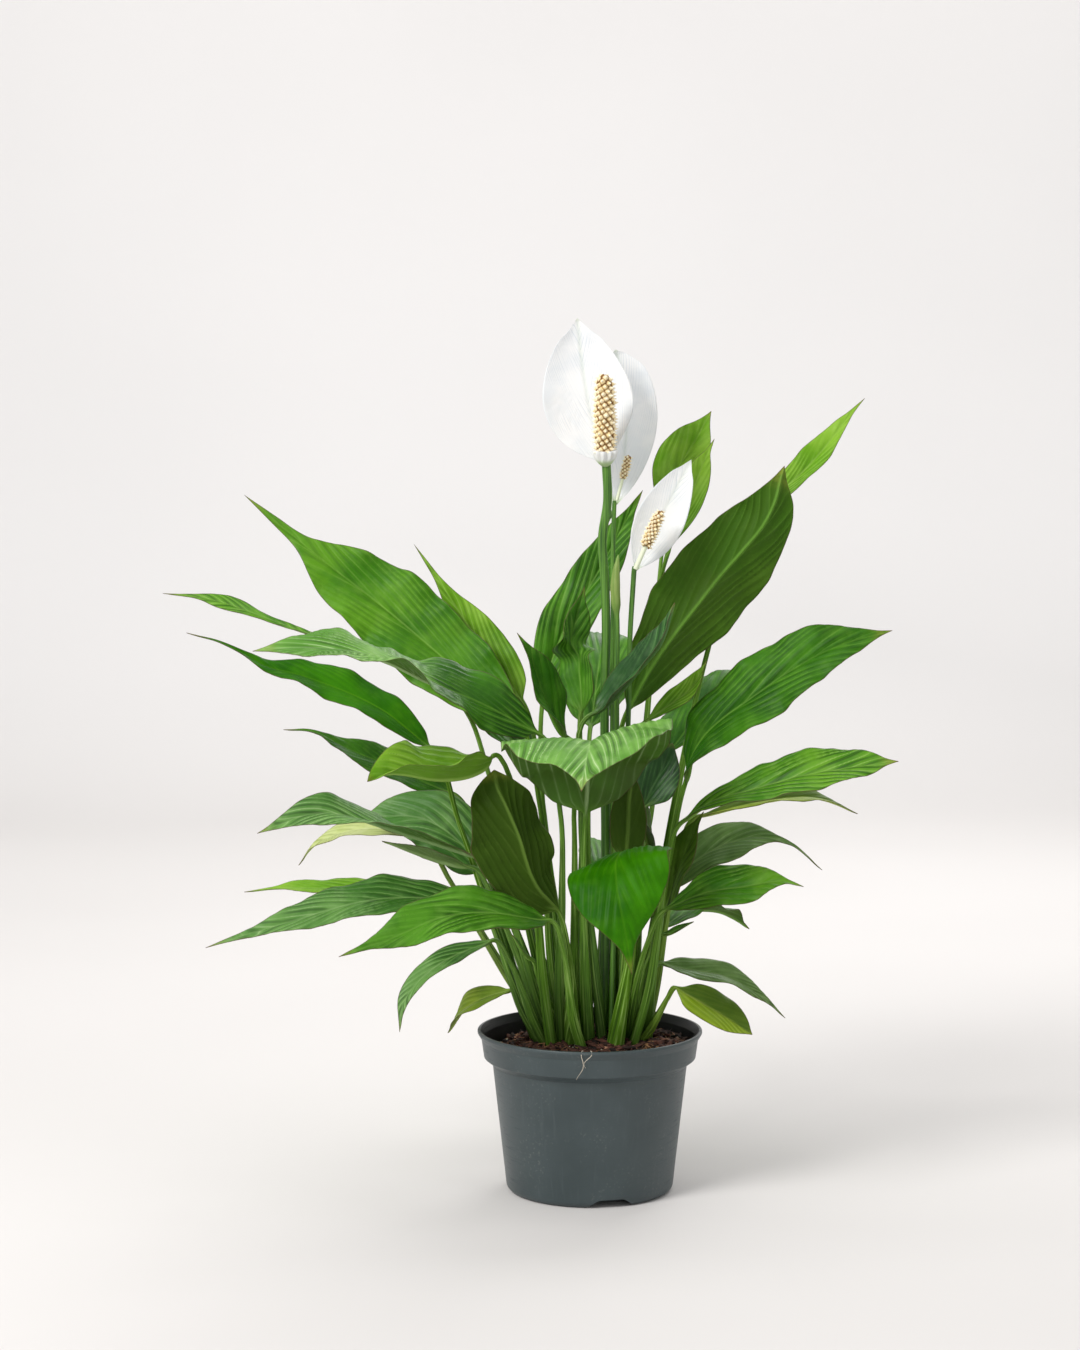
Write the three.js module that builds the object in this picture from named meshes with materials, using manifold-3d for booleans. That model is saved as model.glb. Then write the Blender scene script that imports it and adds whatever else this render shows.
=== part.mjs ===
// A potted peace lily (Spathiphyllum): a clump of long-stalked leaves and three white flowers growing from
// potting mix in a plain round nursery pot with an upright rim band.
// Units are millimetres, +Z is up, and the origin is the centre of the pot's flat foot. -Y is the front.
import * as THREE from "three";
import { mergeVertices } from "three/addons/utils/BufferGeometryUtils.js";
import Module from "manifold-3d";

const wasm = await Module();
wasm.setup();

// ---------------------------------------------------------------- driving dimensions

const POT_HEIGHT = 125;
const RIM_RADIUS = 87; // outside of the flared lip, a 17 cm pot
const LIP_HEIGHT = 7; // the flare's height
const LIP_FOOT_RADIUS = 84; // outside of the band where the flare begins
const RIM_BAND = 21; // height of the upright band, lip and all
const BAND_STEP = 5; // height of the slanted step from the band in to the wall
const BAND_FOOT_RADIUS = 82.3; // outside of the band at its lower edge
const WALL_TOP_RADIUS = 75.4; // outside of the wall where it meets the step
const FOOT_RADIUS = 65; // outside of the wall at the rounded foot
const FOOT_ROUND = 7; // radius of the rounding between wall and foot
const POT_WALL = 1.6;
const POT_FLOOR = 2.2;
const POT_SIDES = 48;
const ARCHES = 3; // raised drainage arches in the foot's edge
const ARCH_WIDTH = 42;
const ARCH_HEIGHT = 6.5;
const ARCH_START = 44; // from the pot's axis
const FIRST_ARCH = -76; // degrees from +X, so it opens just right of the front
const DRAIN_HOLE_RADIUS = 4.5;

const GAP = 0.35; // left between pieces that rest on each other
const MIX_EDGE = 112; // height of the potting mix at the wall
const MIX_CROWN = 121; // and in the middle, under the clump

const CLUMP_CENTRE = new THREE.Vector2(1, 9); // where the stalks come out of the mix
const CLUMP_RADIUS = 44;
const ROOT_SPACING = 10; // least distance between two stalks at the mix
const STALK_CLEARANCE = 1.3; // least gap between a stalk and its neighbours
const ROOM_PASSES = 160;

const LAMINA = 0.8; // thickness of a blade at its margin
const STALK_FOOT = 4.4; // half width of a stalk's sheath at the mix
const STALK_TOP = 1.9; // half width of a stalk where the blade begins

const UP = new THREE.Vector3(0, 0, 1);
const FRONT = new THREE.Vector3(0, -1, 0);
const STALK_CORNERS = [150, 90, 30, -30, -90, -150]; // left, crest, right, then right, keel, left below
const STALK_RINGS = [0, 0.2, 0.45, 0.72, 1];
const BLADE_RINGS = [0.035, 0.11, 0.21, 0.32, 0.44, 0.56, 0.68, 0.79, 0.885, 0.955];
const WAVE_LENGTH = 68; // of the ripple along a blade's margins
const WAVE_HEIGHT = 2.2; // at a blade 80 wide
const CREST = 0.5; // how far the midrib stands above and below the blade
const DRIP_WIDTH = 0.17; // of the narrow tail at a blade's tip, as a share of the blade's width
const RIB_AT_TIP = 0.5;

// where stalks and blades are sampled when they are kept apart
const STALK_SPOTS = Array.from({ length: 22 }, (_, i) => i / 22);
const BLADE_SPOTS = [-1, -0.66, -0.33, 0, 0.33, 0.66, 1];
const LEVEL = 20;

// ---------------------------------------------------------------- the leaves

// midrib: the blade's line from neck to tip. width: across the flattened blade. roll: degrees that the upper
// face is turned towards the front, at even steps from the neck to the tip. fold: degrees that each half is
// lifted. Where they are not the usual ones: lean, degrees of right-handed turn about the midrib, for a blade
// that points to the front; sheath, half width of the stalk's foot; tail, the share of the length that is a
// narrow drip tip; widest, where along the rest the blade is widest; fullness, lower for rounder shoulders.
const LEAVES = {
  // left side, from the top down
  leaf_left_crown: {
    midrib: [[-56, 35, 360], [-100, 60, 398], [-162, 85, 449], [-227, 105, 496], [-277, 120, 536]],
    width: 72, roll: [50, 60], fold: 12, tail: 0.2, widest: 0.5, fullness: 0.6,
  },
  leaf_left_crown_rear: {
    midrib: [
      [-53, 72, 374], [-68, 80, 396], [-88, 90, 422],
      [-107, 98, 449], [-126, 104, 477], [-140, 108, 497],
    ],
    width: 38, roll: [55, 60], fold: 14, tail: 0.26, widest: 0.4,
  },
  leaf_left_arching: {
    midrib: [
      [-40, -38, 359], [-63, -52, 375], [-91, -68, 393], [-122, -82, 409],
      [-150, -90, 423], [-175, -96, 430], [-211, -100, 431], [-249, -102, 426],
    ],
    width: 62, roll: [72, 70, 38, 2, 14, 30, 34], fold: 12, tail: 0.07, widest: 0.5, fullness: 0.6,
  },
  leaf_left_bright: {
    midrib: [
      [-123, 6, 343], [-138, 10, 357], [-162, 14, 376], [-192, 18, 390],
      [-221, 20, 400], [-255, 22, 408], [-281, 24, 422], [-313, 26, 431],
    ],
    width: 40, roll: [35, 28], fold: 12, tail: 0.27, widest: 0.5, fullness: 0.6,
  },
  leaf_left_far_tip: {
    midrib: [[-106, 80, 374], [-167, 110, 407], [-242, 140, 430], [-306, 165, 449], [-352, 185, 453]],
    width: 25, roll: [-10, -10, -4, 30, 45, 40], fold: 14, widest: 0.66,
  },
  leaf_left_dark: {
    midrib: [[-109, 66, 301], [-157, 78, 323], [-193, 88, 336], [-220, 96, 347], [-245, 100, 348]],
    width: 36, roll: [35, 20], fold: 12, tail: 0.2,
  },
  leaf_left_folded: {
    midrib: [[-75, -48, 342], [-106, -70, 349], [-127, -88, 350], [-149, -100, 344], [-165, -110, 331]],
    width: 64, roll: [-5, 35], fold: 44, tail: 0.05,
  },
  leaf_left_bent: {
    midrib: [[-85, -8, 260], [-138, -15, 282], [-176, -22, 296], [-207, -30, 300], [-253, -40, 283]],
    width: 36, roll: [-14, -16, -6, 30, 48, 50], fold: 16, tail: 0.08, widest: 0.62,
  },
  leaf_left_under: {
    midrib: [[-94, 0, 252], [-128, 3, 262], [-161, 6, 271]],
    width: 24, roll: [-30, -30], fold: 14,
  },
  leaf_left_pale: {
    midrib: [[-134, 62, 266], [-164, 74, 273], [-195, 88, 269], [-220, 98, 256], [-234, 105, 237]],
    width: 26, roll: [30, 30], fold: 14, tail: 0.16, widest: 0.55,
  },
  leaf_left_inner: {
    midrib: [[-81, 20, 244], [-105, 30, 272], [-133, 38, 287], [-179, 48, 284]],
    width: 56, roll: [50, 45], fold: 10, tail: 0.05, fullness: 0.6,
  },
  leaf_left_low_rear: {
    midrib: [[-94, 42, 225], [-143, 60, 228], [-186, 74, 226], [-240, 86, 223], [-277, 95, 217]],
    width: 26, roll: [12, 18], fold: 14, widest: 0.6,
  },
  leaf_left_low: {
    midrib: [[-86, -5, 225], [-139, -22, 234], [-179, -36, 232], [-220, -48, 221], [-290, -65, 200]],
    width: 41, roll: [35, 35], fold: 12, tail: 0.14,
  },
  leaf_left_low_front: {
    midrib: [[-31, -66, 221], [-76, -94, 235], [-113, -110, 233], [-149, -124, 218], [-185, -136, 206]],
    width: 49, roll: [35, 35], fold: 12, tail: 0.12, widest: 0.45,
  },
  leaf_left_drooping: {
    midrib: [[-75, -38, 201], [-103, -50, 194], [-125, -60, 181], [-141, -68, 161], [-144, -72, 137]],
    width: 22, roll: [20, 30], fold: 18,
  },
  leaf_left_small: {
    midrib: [[-61, 28, 150], [-82, 34, 145], [-100, 42, 134], [-112, 50, 111]],
    width: 26, roll: [35, 30], fold: 14, tail: 0.04, widest: 0.55, fullness: 0.6,
  },
  leaf_left_tiny: {
    midrib: [[-46, -20, 184], [-53, -22, 194], [-60, -24, 203]],
    width: 14, roll: [10, 10], fold: 14,
  },

  // the middle, front to back
  leaf_front_broad: {
    midrib: [
      [-4, -28, 296], [-3, -40, 330], [-2, -62, 355], [-2, -90, 363],
      [-4, -117, 358], [-7, -140, 345], [-9, -154, 329],
    ],
    width: 130, roll: [0, 0], lean: 8, fold: 4, sheath: 5.6, tail: 0.07, widest: 0.52, fullness: 0.58,
  },
  leaf_front_drooping: {
    midrib: [
      [34, -50, 251], [25, -84, 271], [18, -114, 263],
      [20, -131, 240], [24, -138, 217], [28, -141, 194],
    ],
    width: 78, roll: [0, 0], lean: 17, fold: -8, sheath: 6.8, tail: 0.08, fullness: 0.8,
  },
  leaf_front_upright: {
    midrib: [
      [-25, -42, 224], [-46, -48, 245], [-57, -51, 270],
      [-63, -53, 290], [-70, -54, 314], [-73, -52, 333],
    ],
    width: 70, roll: [-104, -100], fold: 20, sheath: 7.2, tail: 0.03, widest: 0.56, fullness: 0.55,
  },
  leaf_middle_dark: {
    midrib: [[-17, -22, 354], [-22, -26, 372], [-30, -29, 391], [-42, -31, 414], [-56, -32, 435]],
    width: 42, roll: [40, 60], fold: 24, tail: 0.16,
  },
  leaf_middle_blue: {
    midrib: [[1, -28, 373], [14, -36, 393], [30, -44, 413], [47, -50, 431], [62, -54, 459]],
    width: 38, roll: [50, 30], fold: 30, tail: 0.06,
  },
  leaf_middle_upright: {
    midrib: [[-7, 12, 370], [-10, 16, 394], [-12, 20, 419], [-8, 24, 448], [-4, 27, 467]],
    width: 36, roll: [60, 60], fold: 16, fullness: 0.6,
  },
  leaf_middle_tall: {
    midrib: [[-35, 55, 384], [-28, 62, 411], [-15, 72, 442], [9, 84, 481], [44, 112, 540]],
    width: 44, roll: [40, 40], fold: 18,
  },
  leaf_middle_hanging: {
    midrib: [[27, -21, 258], [29, -22, 291], [30, -23, 314], [33, -24, 334]],
    width: 30, roll: [-60, -60], fold: 12,
  },

  // right side, from the top down
  leaf_right_top_thin: {
    midrib: [
      [125, 66, 512], [140, 70, 530], [155, 74, 546], [171, 79, 560],
      [185, 84, 575], [202, 88, 595], [219, 92, 613],
    ],
    width: 26, roll: [40, 40], fold: 22, widest: 0.5,
  },
  leaf_right_top_folded: {
    midrib: [[61, 86, 509], [66, 90, 532], [69, 93, 548], [75, 96, 566], [87, 99, 585], [98, 102, 603]],
    width: 44, roll: [60, 50], fold: 18, tail: 0.08, widest: 0.55,
  },
  leaf_right_top_small: {
    midrib: [[62, 60, 492], [66, 62, 503], [76, 66, 524], [83, 70, 545], [90, 73, 563], [99, 76, 581]],
    width: 24, roll: [50, 50], fold: 20, widest: 0.6,
  },
  leaf_right_crown: {
    midrib: [
      [29, 20, 370], [39, 22, 391], [57, 25, 421], [75, 28, 445],
      [93, 31, 468], [117, 33, 495], [138, 35, 522], [151, 37, 560],
    ],
    width: 72, roll: [-85, -85], fold: 14, tail: 0.05, widest: 0.56, fullness: 0.6,
  },
  leaf_right_sprig: {
    midrib: [[42, -10, 365], [59, -12, 379], [76, -14, 393], [89, -16, 413]],
    width: 20, roll: [50, 50], fold: 18, widest: 0.55,
  },
  leaf_right_large: {
    midrib: [
      [72, -8, 315], [76, -18, 344], [92, -26, 366], [117, -32, 386],
      [146, -36, 407], [180, -38, 425], [227, -38, 437],
    ],
    width: 58, roll: [60, 50], fold: 12, tail: 0.08, widest: 0.54, fullness: 0.6,
  },
  leaf_right_wavy: {
    midrib: [
      [69, -28, 290], [90, -40, 309], [121, -52, 321],
      [156, -62, 333], [192, -70, 339], [228, -75, 342],
    ],
    width: 48, roll: [30, 40], fold: 12, tail: 0.06, widest: 0.62, fullness: 0.62,
  },
  leaf_right_hidden: {
    midrib: [[86, 46, 285], [134, 56, 297], [178, 62, 300], [214, 68, 284]],
    width: 26, roll: [15, 15], fold: 14, widest: 0.6,
  },
  leaf_right_arching: {
    midrib: [[61, 14, 229], [78, 17, 252], [102, 20, 267], [127, 23, 273], [157, 25, 266], [182, 26, 245]],
    width: 40, roll: [40, 35], fold: 10, tail: 0.3, widest: 0.55, fullness: 0.65,
  },
  leaf_right_striped: {
    midrib: [[57, -28, 223], [84, -40, 239], [117, -48, 246], [143, -53, 249], [160, -56, 245]],
    width: 42, roll: [45, 35], fold: 10, tail: 0.14, widest: 0.56, fullness: 0.65,
  },
  leaf_right_inner: {
    midrib: [[56, 2, 214], [64, -2, 250], [77, -6, 277], [87, -9, 296]],
    width: 36, roll: [50, 50], fold: 14,
  },
  leaf_right_grey: {
    midrib: [[41, 6, 297], [48, 10, 313], [56, 14, 328], [64, 17, 346]],
    width: 38, roll: [50, 50], fold: 12, tail: 0.05,
  },
  leaf_right_behind: {
    midrib: [[54, 22, 250], [48, 26, 275], [43, 30, 298], [38, 34, 322]],
    width: 36, roll: [-60, -60], fold: 14,
  },
  leaf_right_low: {
    midrib: [[56, 15, 174], [78, 18, 170], [108, 22, 164], [134, 24, 147], [154, 26, 128]],
    width: 27, roll: [30, 35], fold: 14, tail: 0.16, widest: 0.45,
  },
  leaf_right_yellow: {
    midrib: [[66, -20, 161], [84, -28, 153], [103, -35, 143], [123, -42, 129]],
    width: 31, roll: [45, 40], fold: 12, tail: 0.05, widest: 0.5, fullness: 0.62,
  },
  leaf_right_tiny: {
    midrib: [[57, 0, 199], [69, -3, 205], [80, -5, 210]],
    width: 10, roll: [20, 20], fold: 14,
  },

  // behind the clump
  leaf_rear_left: {
    midrib: [[-50, 95, 330], [-85, 140, 372], [-120, 185, 395], [-150, 225, 396]],
    width: 60, roll: [0, 0], fold: 14,
  },
  leaf_rear_middle: {
    midrib: [[2, 100, 350], [8, 145, 395], [14, 190, 418], [20, 238, 416]],
    width: 62, roll: [0, 0], fold: 14,
  },
  leaf_rear_right: {
    midrib: [[62, 90, 330], [92, 130, 368], [122, 170, 388], [150, 208, 386]],
    width: 58, roll: [0, 0], fold: 14,
  },
  leaf_rear_low: {
    midrib: [[12, 88, 226], [18, 130, 248], [24, 178, 246], [30, 225, 222]],
    width: 54, roll: [0, 0], fold: 14,
  },
  leaf_rear_low_left: {
    midrib: [[-46, 78, 200], [-72, 110, 216], [-100, 148, 212], [-128, 185, 188]],
    width: 48, roll: [0, 0], fold: 14,
  },
  leaf_rear_low_right: {
    midrib: [[54, 74, 190], [80, 105, 204], [108, 138, 198], [136, 170, 174]],
    width: 46, roll: [0, 0], fold: 14,
  },
};

// ---------------------------------------------------------------- the flowers

// stalk: the flower stalk's line above the mix. spathe: the white bract's midline. widest: where along it the
// bract is widest. fullness: lower for rounder shoulders. spadix: its foot and tip. bare: the share of it below
// its florets.
const FLOWERS = {
  flower_main: {
    root: [10, 4],
    stalk: [[12, 0, 241], [11, 0, 365], [12, 0, 458], [9, 0, 504], [13, 0, 534], [12, 0, 561]],
    stalkRadius: 3.4,
    spathe: [[12, 3, 562], [3, 12, 590], [-5, 18, 630], [-10, 20, 673]],
    spatheWidth: 72, fold: 14, widest: 0.45, fullness: 1,
    spadix: [[11, -3, 563], [10, -15, 629]], spadixRadius: 8, bare: 0.06,
  },
  flower_rear: {
    root: [14, 24],
    stalk: [[17, 30, 300], [18, 30, 425], [18, 34, 487], [19, 36, 529]],
    stalkRadius: 1.7,
    spathe: [[20, 39, 530], [26, 44, 560], [29, 48, 600], [26, 51, 630], [20, 52, 650]],
    spatheWidth: 50, fold: 18, widest: 0.6, fullness: 0.5,
    spadix: [[21, 33, 533], [30, 27, 568]], spadixRadius: 3, bare: 0.5,
  },
  flower_low: {
    root: [24, -8],
    stalk: [[27, -10, 300], [29, -10, 366], [30, -10, 428], [33, -10, 480]],
    stalkRadius: 1.9,
    spathe: [[34, -7, 481], [49, -1, 510], [63, 2, 538], [77, 2, 565]],
    spatheWidth: 39, fold: 16, widest: 0.44, fullness: 1,
    spadix: [[34, -12, 482], [53, -18, 526]], spadixRadius: 4.6, bare: 0.4,
  },
};

// A flower still rolled up in its green-white spathe, in one piece with its stalk.
const BUD = {
  root: [16, -14],
  stalk: [[20, -8, 300], [20, -9, 400], [20, -10, 446], [19, -11, 468], [21, -12, 493]],
  stalkRadius: 2.0,
  swelling: 3.6,
};

// ---------------------------------------------------------------- small helpers

const vector = (p) => new THREE.Vector3(...p);
const mixHeight = (r) => MIX_CROWN - (MIX_CROWN - MIX_EDGE) * (r / 72) ** 2;

// One closed surface through rings of points that all run the same way round, with a pole at each end.
function loft(rings, startPole, endPole) {
  const n = rings[0].length;
  const points = [startPole, ...rings.flat(), endPole];
  const last = points.length - 1;
  const at = (ring, i) => 1 + ring * n + (i % n);
  const index = [];
  for (let i = 0; i < n; i++) index.push(0, at(0, i + 1), at(0, i));
  for (let r = 0; r < rings.length - 1; r++) {
    for (let i = 0; i < n; i++) {
      index.push(at(r, i), at(r, i + 1), at(r + 1, i + 1));
      index.push(at(r, i), at(r + 1, i + 1), at(r + 1, i));
    }
  }
  for (let i = 0; i < n; i++) index.push(last, at(rings.length - 1, i), at(rings.length - 1, i + 1));
  const geometry = new THREE.BufferGeometry().setFromPoints(points);
  geometry.setIndex(index);
  return geometry;
}

// The upper face's normal of a blade that runs along tangent, before it is rolled: it faces up and inwards.
function upperFace(tangent, outward) {
  const side = new THREE.Vector3().crossVectors(tangent, UP);
  side.addScaledVector(new THREE.Vector3().crossVectors(outward, UP), 0.15).normalize();
  return new THREE.Vector3().crossVectors(side, tangent).normalize();
}

// Turns normal about tangent by degrees, towards the front.
function rolled(normal, tangent, degrees) {
  const sideways = new THREE.Vector3().crossVectors(tangent, normal);
  const sense = sideways.dot(FRONT) < 0 ? -1 : 1;
  return normal.clone().applyAxisAngle(tangent, (sense * degrees * Math.PI) / 180);
}

// A blade's section: two thin halves that the fold makes sag to the midrib, with its low crest and its keel.
function bladeSection(centre, tangent, normal, { halfWidth, rib, fold, lift }) {
  const side = new THREE.Vector3().crossVectors(tangent, normal).normalize();
  const angle = THREE.MathUtils.degToRad(fold);
  const thin = Math.min(LAMINA / 2, CREST);
  const at = (across, up) => centre.clone().addScaledVector(side, across).addScaledVector(normal, up);
  const reach = halfWidth * Math.cos(angle);
  const sag = halfWidth * Math.sin(angle);
  return [
    at(-reach, lift[0] + thin),
    at(0, CREST - sag),
    at(reach, lift[1] + thin),
    at(reach, lift[1] - thin),
    at(0, -rib - sag),
    at(-reach, lift[0] - thin),
  ];
}

// The power that brings the top of a sine's arch to the share `widest`.
const archPower = (widest) => Math.log(0.5) / Math.log(widest);

// Half the blade's width at a share s of its length, as a share of its greatest half width.
function bladeOutline(s, { tail, widest, fullness }) {
  const body = Math.sin(Math.PI * Math.min(1, s / (1 - tail)) ** archPower(widest)) ** fullness;
  const drip = DRIP_WIDTH * Math.min(s, (1 - s) / tail);
  return Math.min(1, Math.hypot(body, drip));
}

// A list of values at even steps, read at a share s of the way along it.
function along(list, s) {
  const place = s * (list.length - 1);
  const i = Math.min(Math.floor(place), list.length - 2);
  return THREE.MathUtils.lerp(list[i], list[i + 1], place - i);
}

const USUAL = { lean: 0, sheath: STALK_FOOT, tail: 0.1, widest: 0.42, fullness: 0.72 };

// ---------------------------------------------------------------- a leaf: stalk and blade in one piece

class Leaf {
  constructor(name, design, order) {
    Object.assign(this, { name, order }, USUAL, design);
    this.blade = new THREE.CatmullRomCurve3(design.midrib.map(vector), false, "centripetal");
    this.neck = vector(design.midrib[0]);
    const tip = vector(design.midrib.at(-1));
    this.outward = new THREE.Vector3(tip.x, tip.y, 0).normalize();
    this.controls = this.firstStalk();
    this.groundRoot();
  }

  // A stalk leaves the mix nearly upright, further from the middle the lower its blade hangs outwards.
  firstStalk() {
    const away = new THREE.Vector2(this.neck.x, this.neck.y).sub(CLUMP_CENTRE);
    const share = Math.min(1, 0.18 + away.length() / 95);
    const root = away.setLength(CLUMP_RADIUS * share).add(CLUMP_CENTRE);
    const start = new THREE.Vector3(root.x, root.y, MIX_EDGE);
    const rise = this.neck.z - MIX_EDGE;
    const middle = start.clone().lerp(this.neck, 0.3);
    middle.z = MIX_EDGE + 0.36 * rise;
    const heading = this.blade.getTangent(0).addScaledVector(UP, 0.9).normalize();
    const late = this.neck.clone().addScaledVector(heading, -0.3 * rise);
    return [start, middle, late, this.neck.clone()];
  }

  groundRoot() {
    const root = this.controls[0];
    const away = new THREE.Vector2(root.x, root.y).sub(CLUMP_CENTRE);
    away.clampLength(0, CLUMP_RADIUS).add(CLUMP_CENTRE);
    root.set(away.x, away.y, mixHeight(Math.max(0, away.length() - this.sheath)) + GAP);
  }

  get stalk() {
    return new THREE.CubicBezierCurve3(...this.controls);
  }

  stalkRadius(t) {
    return THREE.MathUtils.lerp(this.sheath, STALK_TOP, Math.min(1, t * 1.4));
  }

  stalkRing(stalk, t) {
    const tangent = stalk.getTangent(t);
    const normal = rolled(upperFace(tangent, this.outward), tangent, this.roll[0] * t);
    const side = new THREE.Vector3().crossVectors(tangent, normal);
    const radius = this.stalkRadius(t);
    const centre = stalk.getPoint(t);
    return STALK_CORNERS.map((degrees) => {
      const a = THREE.MathUtils.degToRad(degrees);
      const corner = centre.clone().addScaledVector(side, radius * Math.cos(a));
      corner.addScaledVector(normal, radius * Math.sin(a));
      if (t === 0) corner.z = centre.z;
      return corner;
    });
  }

  bladeRing(s) {
    const tangent = this.blade.getTangentAt(s);
    const normal = rolled(upperFace(tangent, this.outward), tangent, along(this.roll, s));
    normal.applyAxisAngle(tangent, THREE.MathUtils.degToRad(this.lean));
    const halfWidth = (this.width / 2) * bladeOutline(s, this);
    const phase = (2 * Math.PI * s * this.blade.getLength()) / WAVE_LENGTH + this.order;
    const ripple = (shift) => (WAVE_HEIGHT * Math.sin(phase + shift) * halfWidth) / 40;
    const rib = THREE.MathUtils.lerp(STALK_TOP, RIB_AT_TIP, s);
    return bladeSection(this.blade.getPointAt(s), tangent, normal, {
      halfWidth, rib, fold: this.fold, lift: [ripple(0), ripple(2)],
    });
  }

  rings() {
    const stalk = this.stalk;
    const stalkRings = STALK_RINGS.map((t) => this.stalkRing(stalk, t));
    return [...stalkRings, ...BLADE_RINGS.map((s) => this.bladeRing(s))];
  }

  geometry() {
    return loft(this.rings(), this.controls[0].clone(), this.blade.getPoint(1));
  }

  // Points over the blade that stalks keep clear of.
  bladeSpots() {
    return BLADE_RINGS.flatMap((s) => {
      const [left, crest, right] = this.bladeRing(s);
      return BLADE_SPOTS.map((k) => crest.clone().lerp(k < 0 ? left : right, Math.abs(k)));
    });
  }
}

const leaves = Object.entries(LEAVES).map(([name, design], order) => new Leaf(name, design, order));

// Flower stalks have their own hand-set line and are never pushed aside.
function fixedStalk({ root, stalk, stalkRadius }) {
  const start = vector([...root, mixHeight(Math.hypot(root[0], root[1])) + GAP]);
  const curve = new THREE.CatmullRomCurve3([start, ...stalk.map(vector)], false, "centripetal");
  return { curve, radius: stalkRadius };
}
const fixedStalks = [...Object.values(FLOWERS), BUD].map(fixedStalk);

// Spots sorted into levels of height, so that only neighbours are compared.
function byLevel(spots) {
  const levels = new Map();
  for (const spot of spots) {
    const level = Math.floor(spot.point.z / LEVEL);
    if (!levels.has(level)) levels.set(level, []);
    levels.get(level).push(spot);
  }
  return (z) => [-1, 0, 1].flatMap((step) => levels.get(Math.floor(z / LEVEL) + step) ?? []);
}

// Growing stalks bend round each other and round the blades: each pass pushes apart what comes too near.
function makeRoom() {
  const still = [
    ...fixedStalks.flatMap(({ curve, radius }) =>
      curve.getSpacedPoints(60).map((point) => ({ point, radius, firm: 1 })),
    ),
    ...leaves.flatMap((owner) =>
      owner.bladeSpots().map((point) => ({ owner, point, radius: 3, firm: 0.8 })),
    ),
  ];
  const stillNear = byLevel(still);
  const stalkSpots = (owner) => {
    const stalk = owner.stalk;
    return STALK_SPOTS.map((t) => {
      return { owner, t, point: stalk.getPoint(t), radius: owner.stalkRadius(t), firm: 0.5 };
    });
  };
  for (let pass = 0; pass < ROOM_PASSES; pass++) {
    const moving = leaves.map(stalkSpots);
    const movingNear = byLevel(moving.flat());
    for (const spots of moving) {
      const pushes = [0, 1, 2].map(() => ({ move: new THREE.Vector3(), weight: 0 }));
      for (const spot of spots) {
        for (const other of [...movingNear(spot.point.z), ...stillNear(spot.point.z)]) {
          if (other.owner === spot.owner) continue;
          const rooted = spot.t === 0 && other.t === 0;
          const reach = Math.max(rooted ? ROOT_SPACING : 0, spot.radius + other.radius + STALK_CLEARANCE);
          const distance = spot.point.distanceTo(other.point);
          if (distance >= reach) continue;
          const away = spot.point.clone().sub(other.point);
          away.z *= 0.2;
          away.setLength((reach - distance) * other.firm);
          const { t } = spot;
          [(1 - t) ** 3, 3 * t * (1 - t) ** 2, 3 * t * t * (1 - t)].forEach((weight, i) => {
            pushes[i].move.addScaledVector(away, weight);
            pushes[i].weight += weight;
          });
        }
      }
      const { controls } = spots[0].owner;
      pushes.forEach(({ move, weight }, i) => controls[i].addScaledVector(move, 1.2 / Math.max(1, weight)));
      spots[0].owner.groundRoot();
    }
  }
}
makeRoom();

// ---------------------------------------------------------------- flowers

const FLOWER_SIDES = 8;

// A round bar along a curve whose radius is a function of the share of its length.
function bar(curve, radiusAt, shares, sides = FLOWER_SIDES) {
  const rings = shares.map((s) => {
    const tangent = curve.getTangentAt(s);
    const side = new THREE.Vector3().crossVectors(tangent, FRONT).normalize();
    const front = new THREE.Vector3().crossVectors(side, tangent);
    return Array.from({ length: sides }, (_, i) => {
      const a = (-2 * Math.PI * i) / sides;
      return curve
        .getPointAt(s)
        .addScaledVector(side, radiusAt(s) * Math.cos(a))
        .addScaledVector(front, radiusAt(s) * Math.sin(a));
    });
  });
  return loft(rings, curve.getPointAt(0), curve.getPointAt(1));
}

function flowerStalk(curve, radius) {
  const shares = [0, 0.1, 0.22, 0.36, 0.5, 0.62, 0.72, 0.8, 0.87, 0.94, 1];
  return bar(curve, (s) => radius * (1.25 - 0.25 * Math.min(1, s * 3)), shares);
}

function spatheOutline(s, { widest, fullness }) {
  const body = Math.sin(Math.PI * s ** archPower(widest)) ** (fullness * (1.1 - 0.5 * s));
  return body * (1 - 0.35 * s ** 8);
}
const SPATHE_RINGS = [0.03, 0.1, 0.2, 0.32, 0.45, 0.58, 0.7, 0.81, 0.9, 0.965];

// The spathe faces its spadix, so its hollow side is turned to the front.
function spatheGeometry(flower) {
  const curve = new THREE.CatmullRomCurve3(flower.spathe.map(vector), false, "centripetal");
  const rings = SPATHE_RINGS.map((s) => {
    const tangent = curve.getTangentAt(s);
    const side = new THREE.Vector3().crossVectors(tangent, FRONT).normalize();
    const normal = new THREE.Vector3().crossVectors(side, tangent).normalize();
    return bladeSection(curve.getPointAt(s), tangent, normal, {
      halfWidth: (flower.spatheWidth / 2) * spatheOutline(s, flower), rib: 0.9, fold: flower.fold, lift: [0, 0],
    });
  });
  return loft(rings, curve.getPointAt(0), curve.getPointAt(1));
}

function spadixGeometry(flower) {
  const curve = new THREE.LineCurve3(...flower.spadix.map(vector));
  const { bare, spadixRadius } = flower;
  const radiusAt = (s) => {
    if (s < bare) return spadixRadius * 0.45;
    const t = (s - bare) / (1 - bare);
    return spadixRadius * (0.35 + 0.65 * Math.sqrt(Math.max(0, Math.sin(Math.PI * (0.2 + 0.73 * t)))));
  };
  const full = [0.03, 0.18, 0.34, 0.5, 0.66, 0.82, 0.95].map((t) => THREE.MathUtils.lerp(bare, 1, t));
  return bar(curve, radiusAt, [0, bare * 0.95, ...full]);
}

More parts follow.
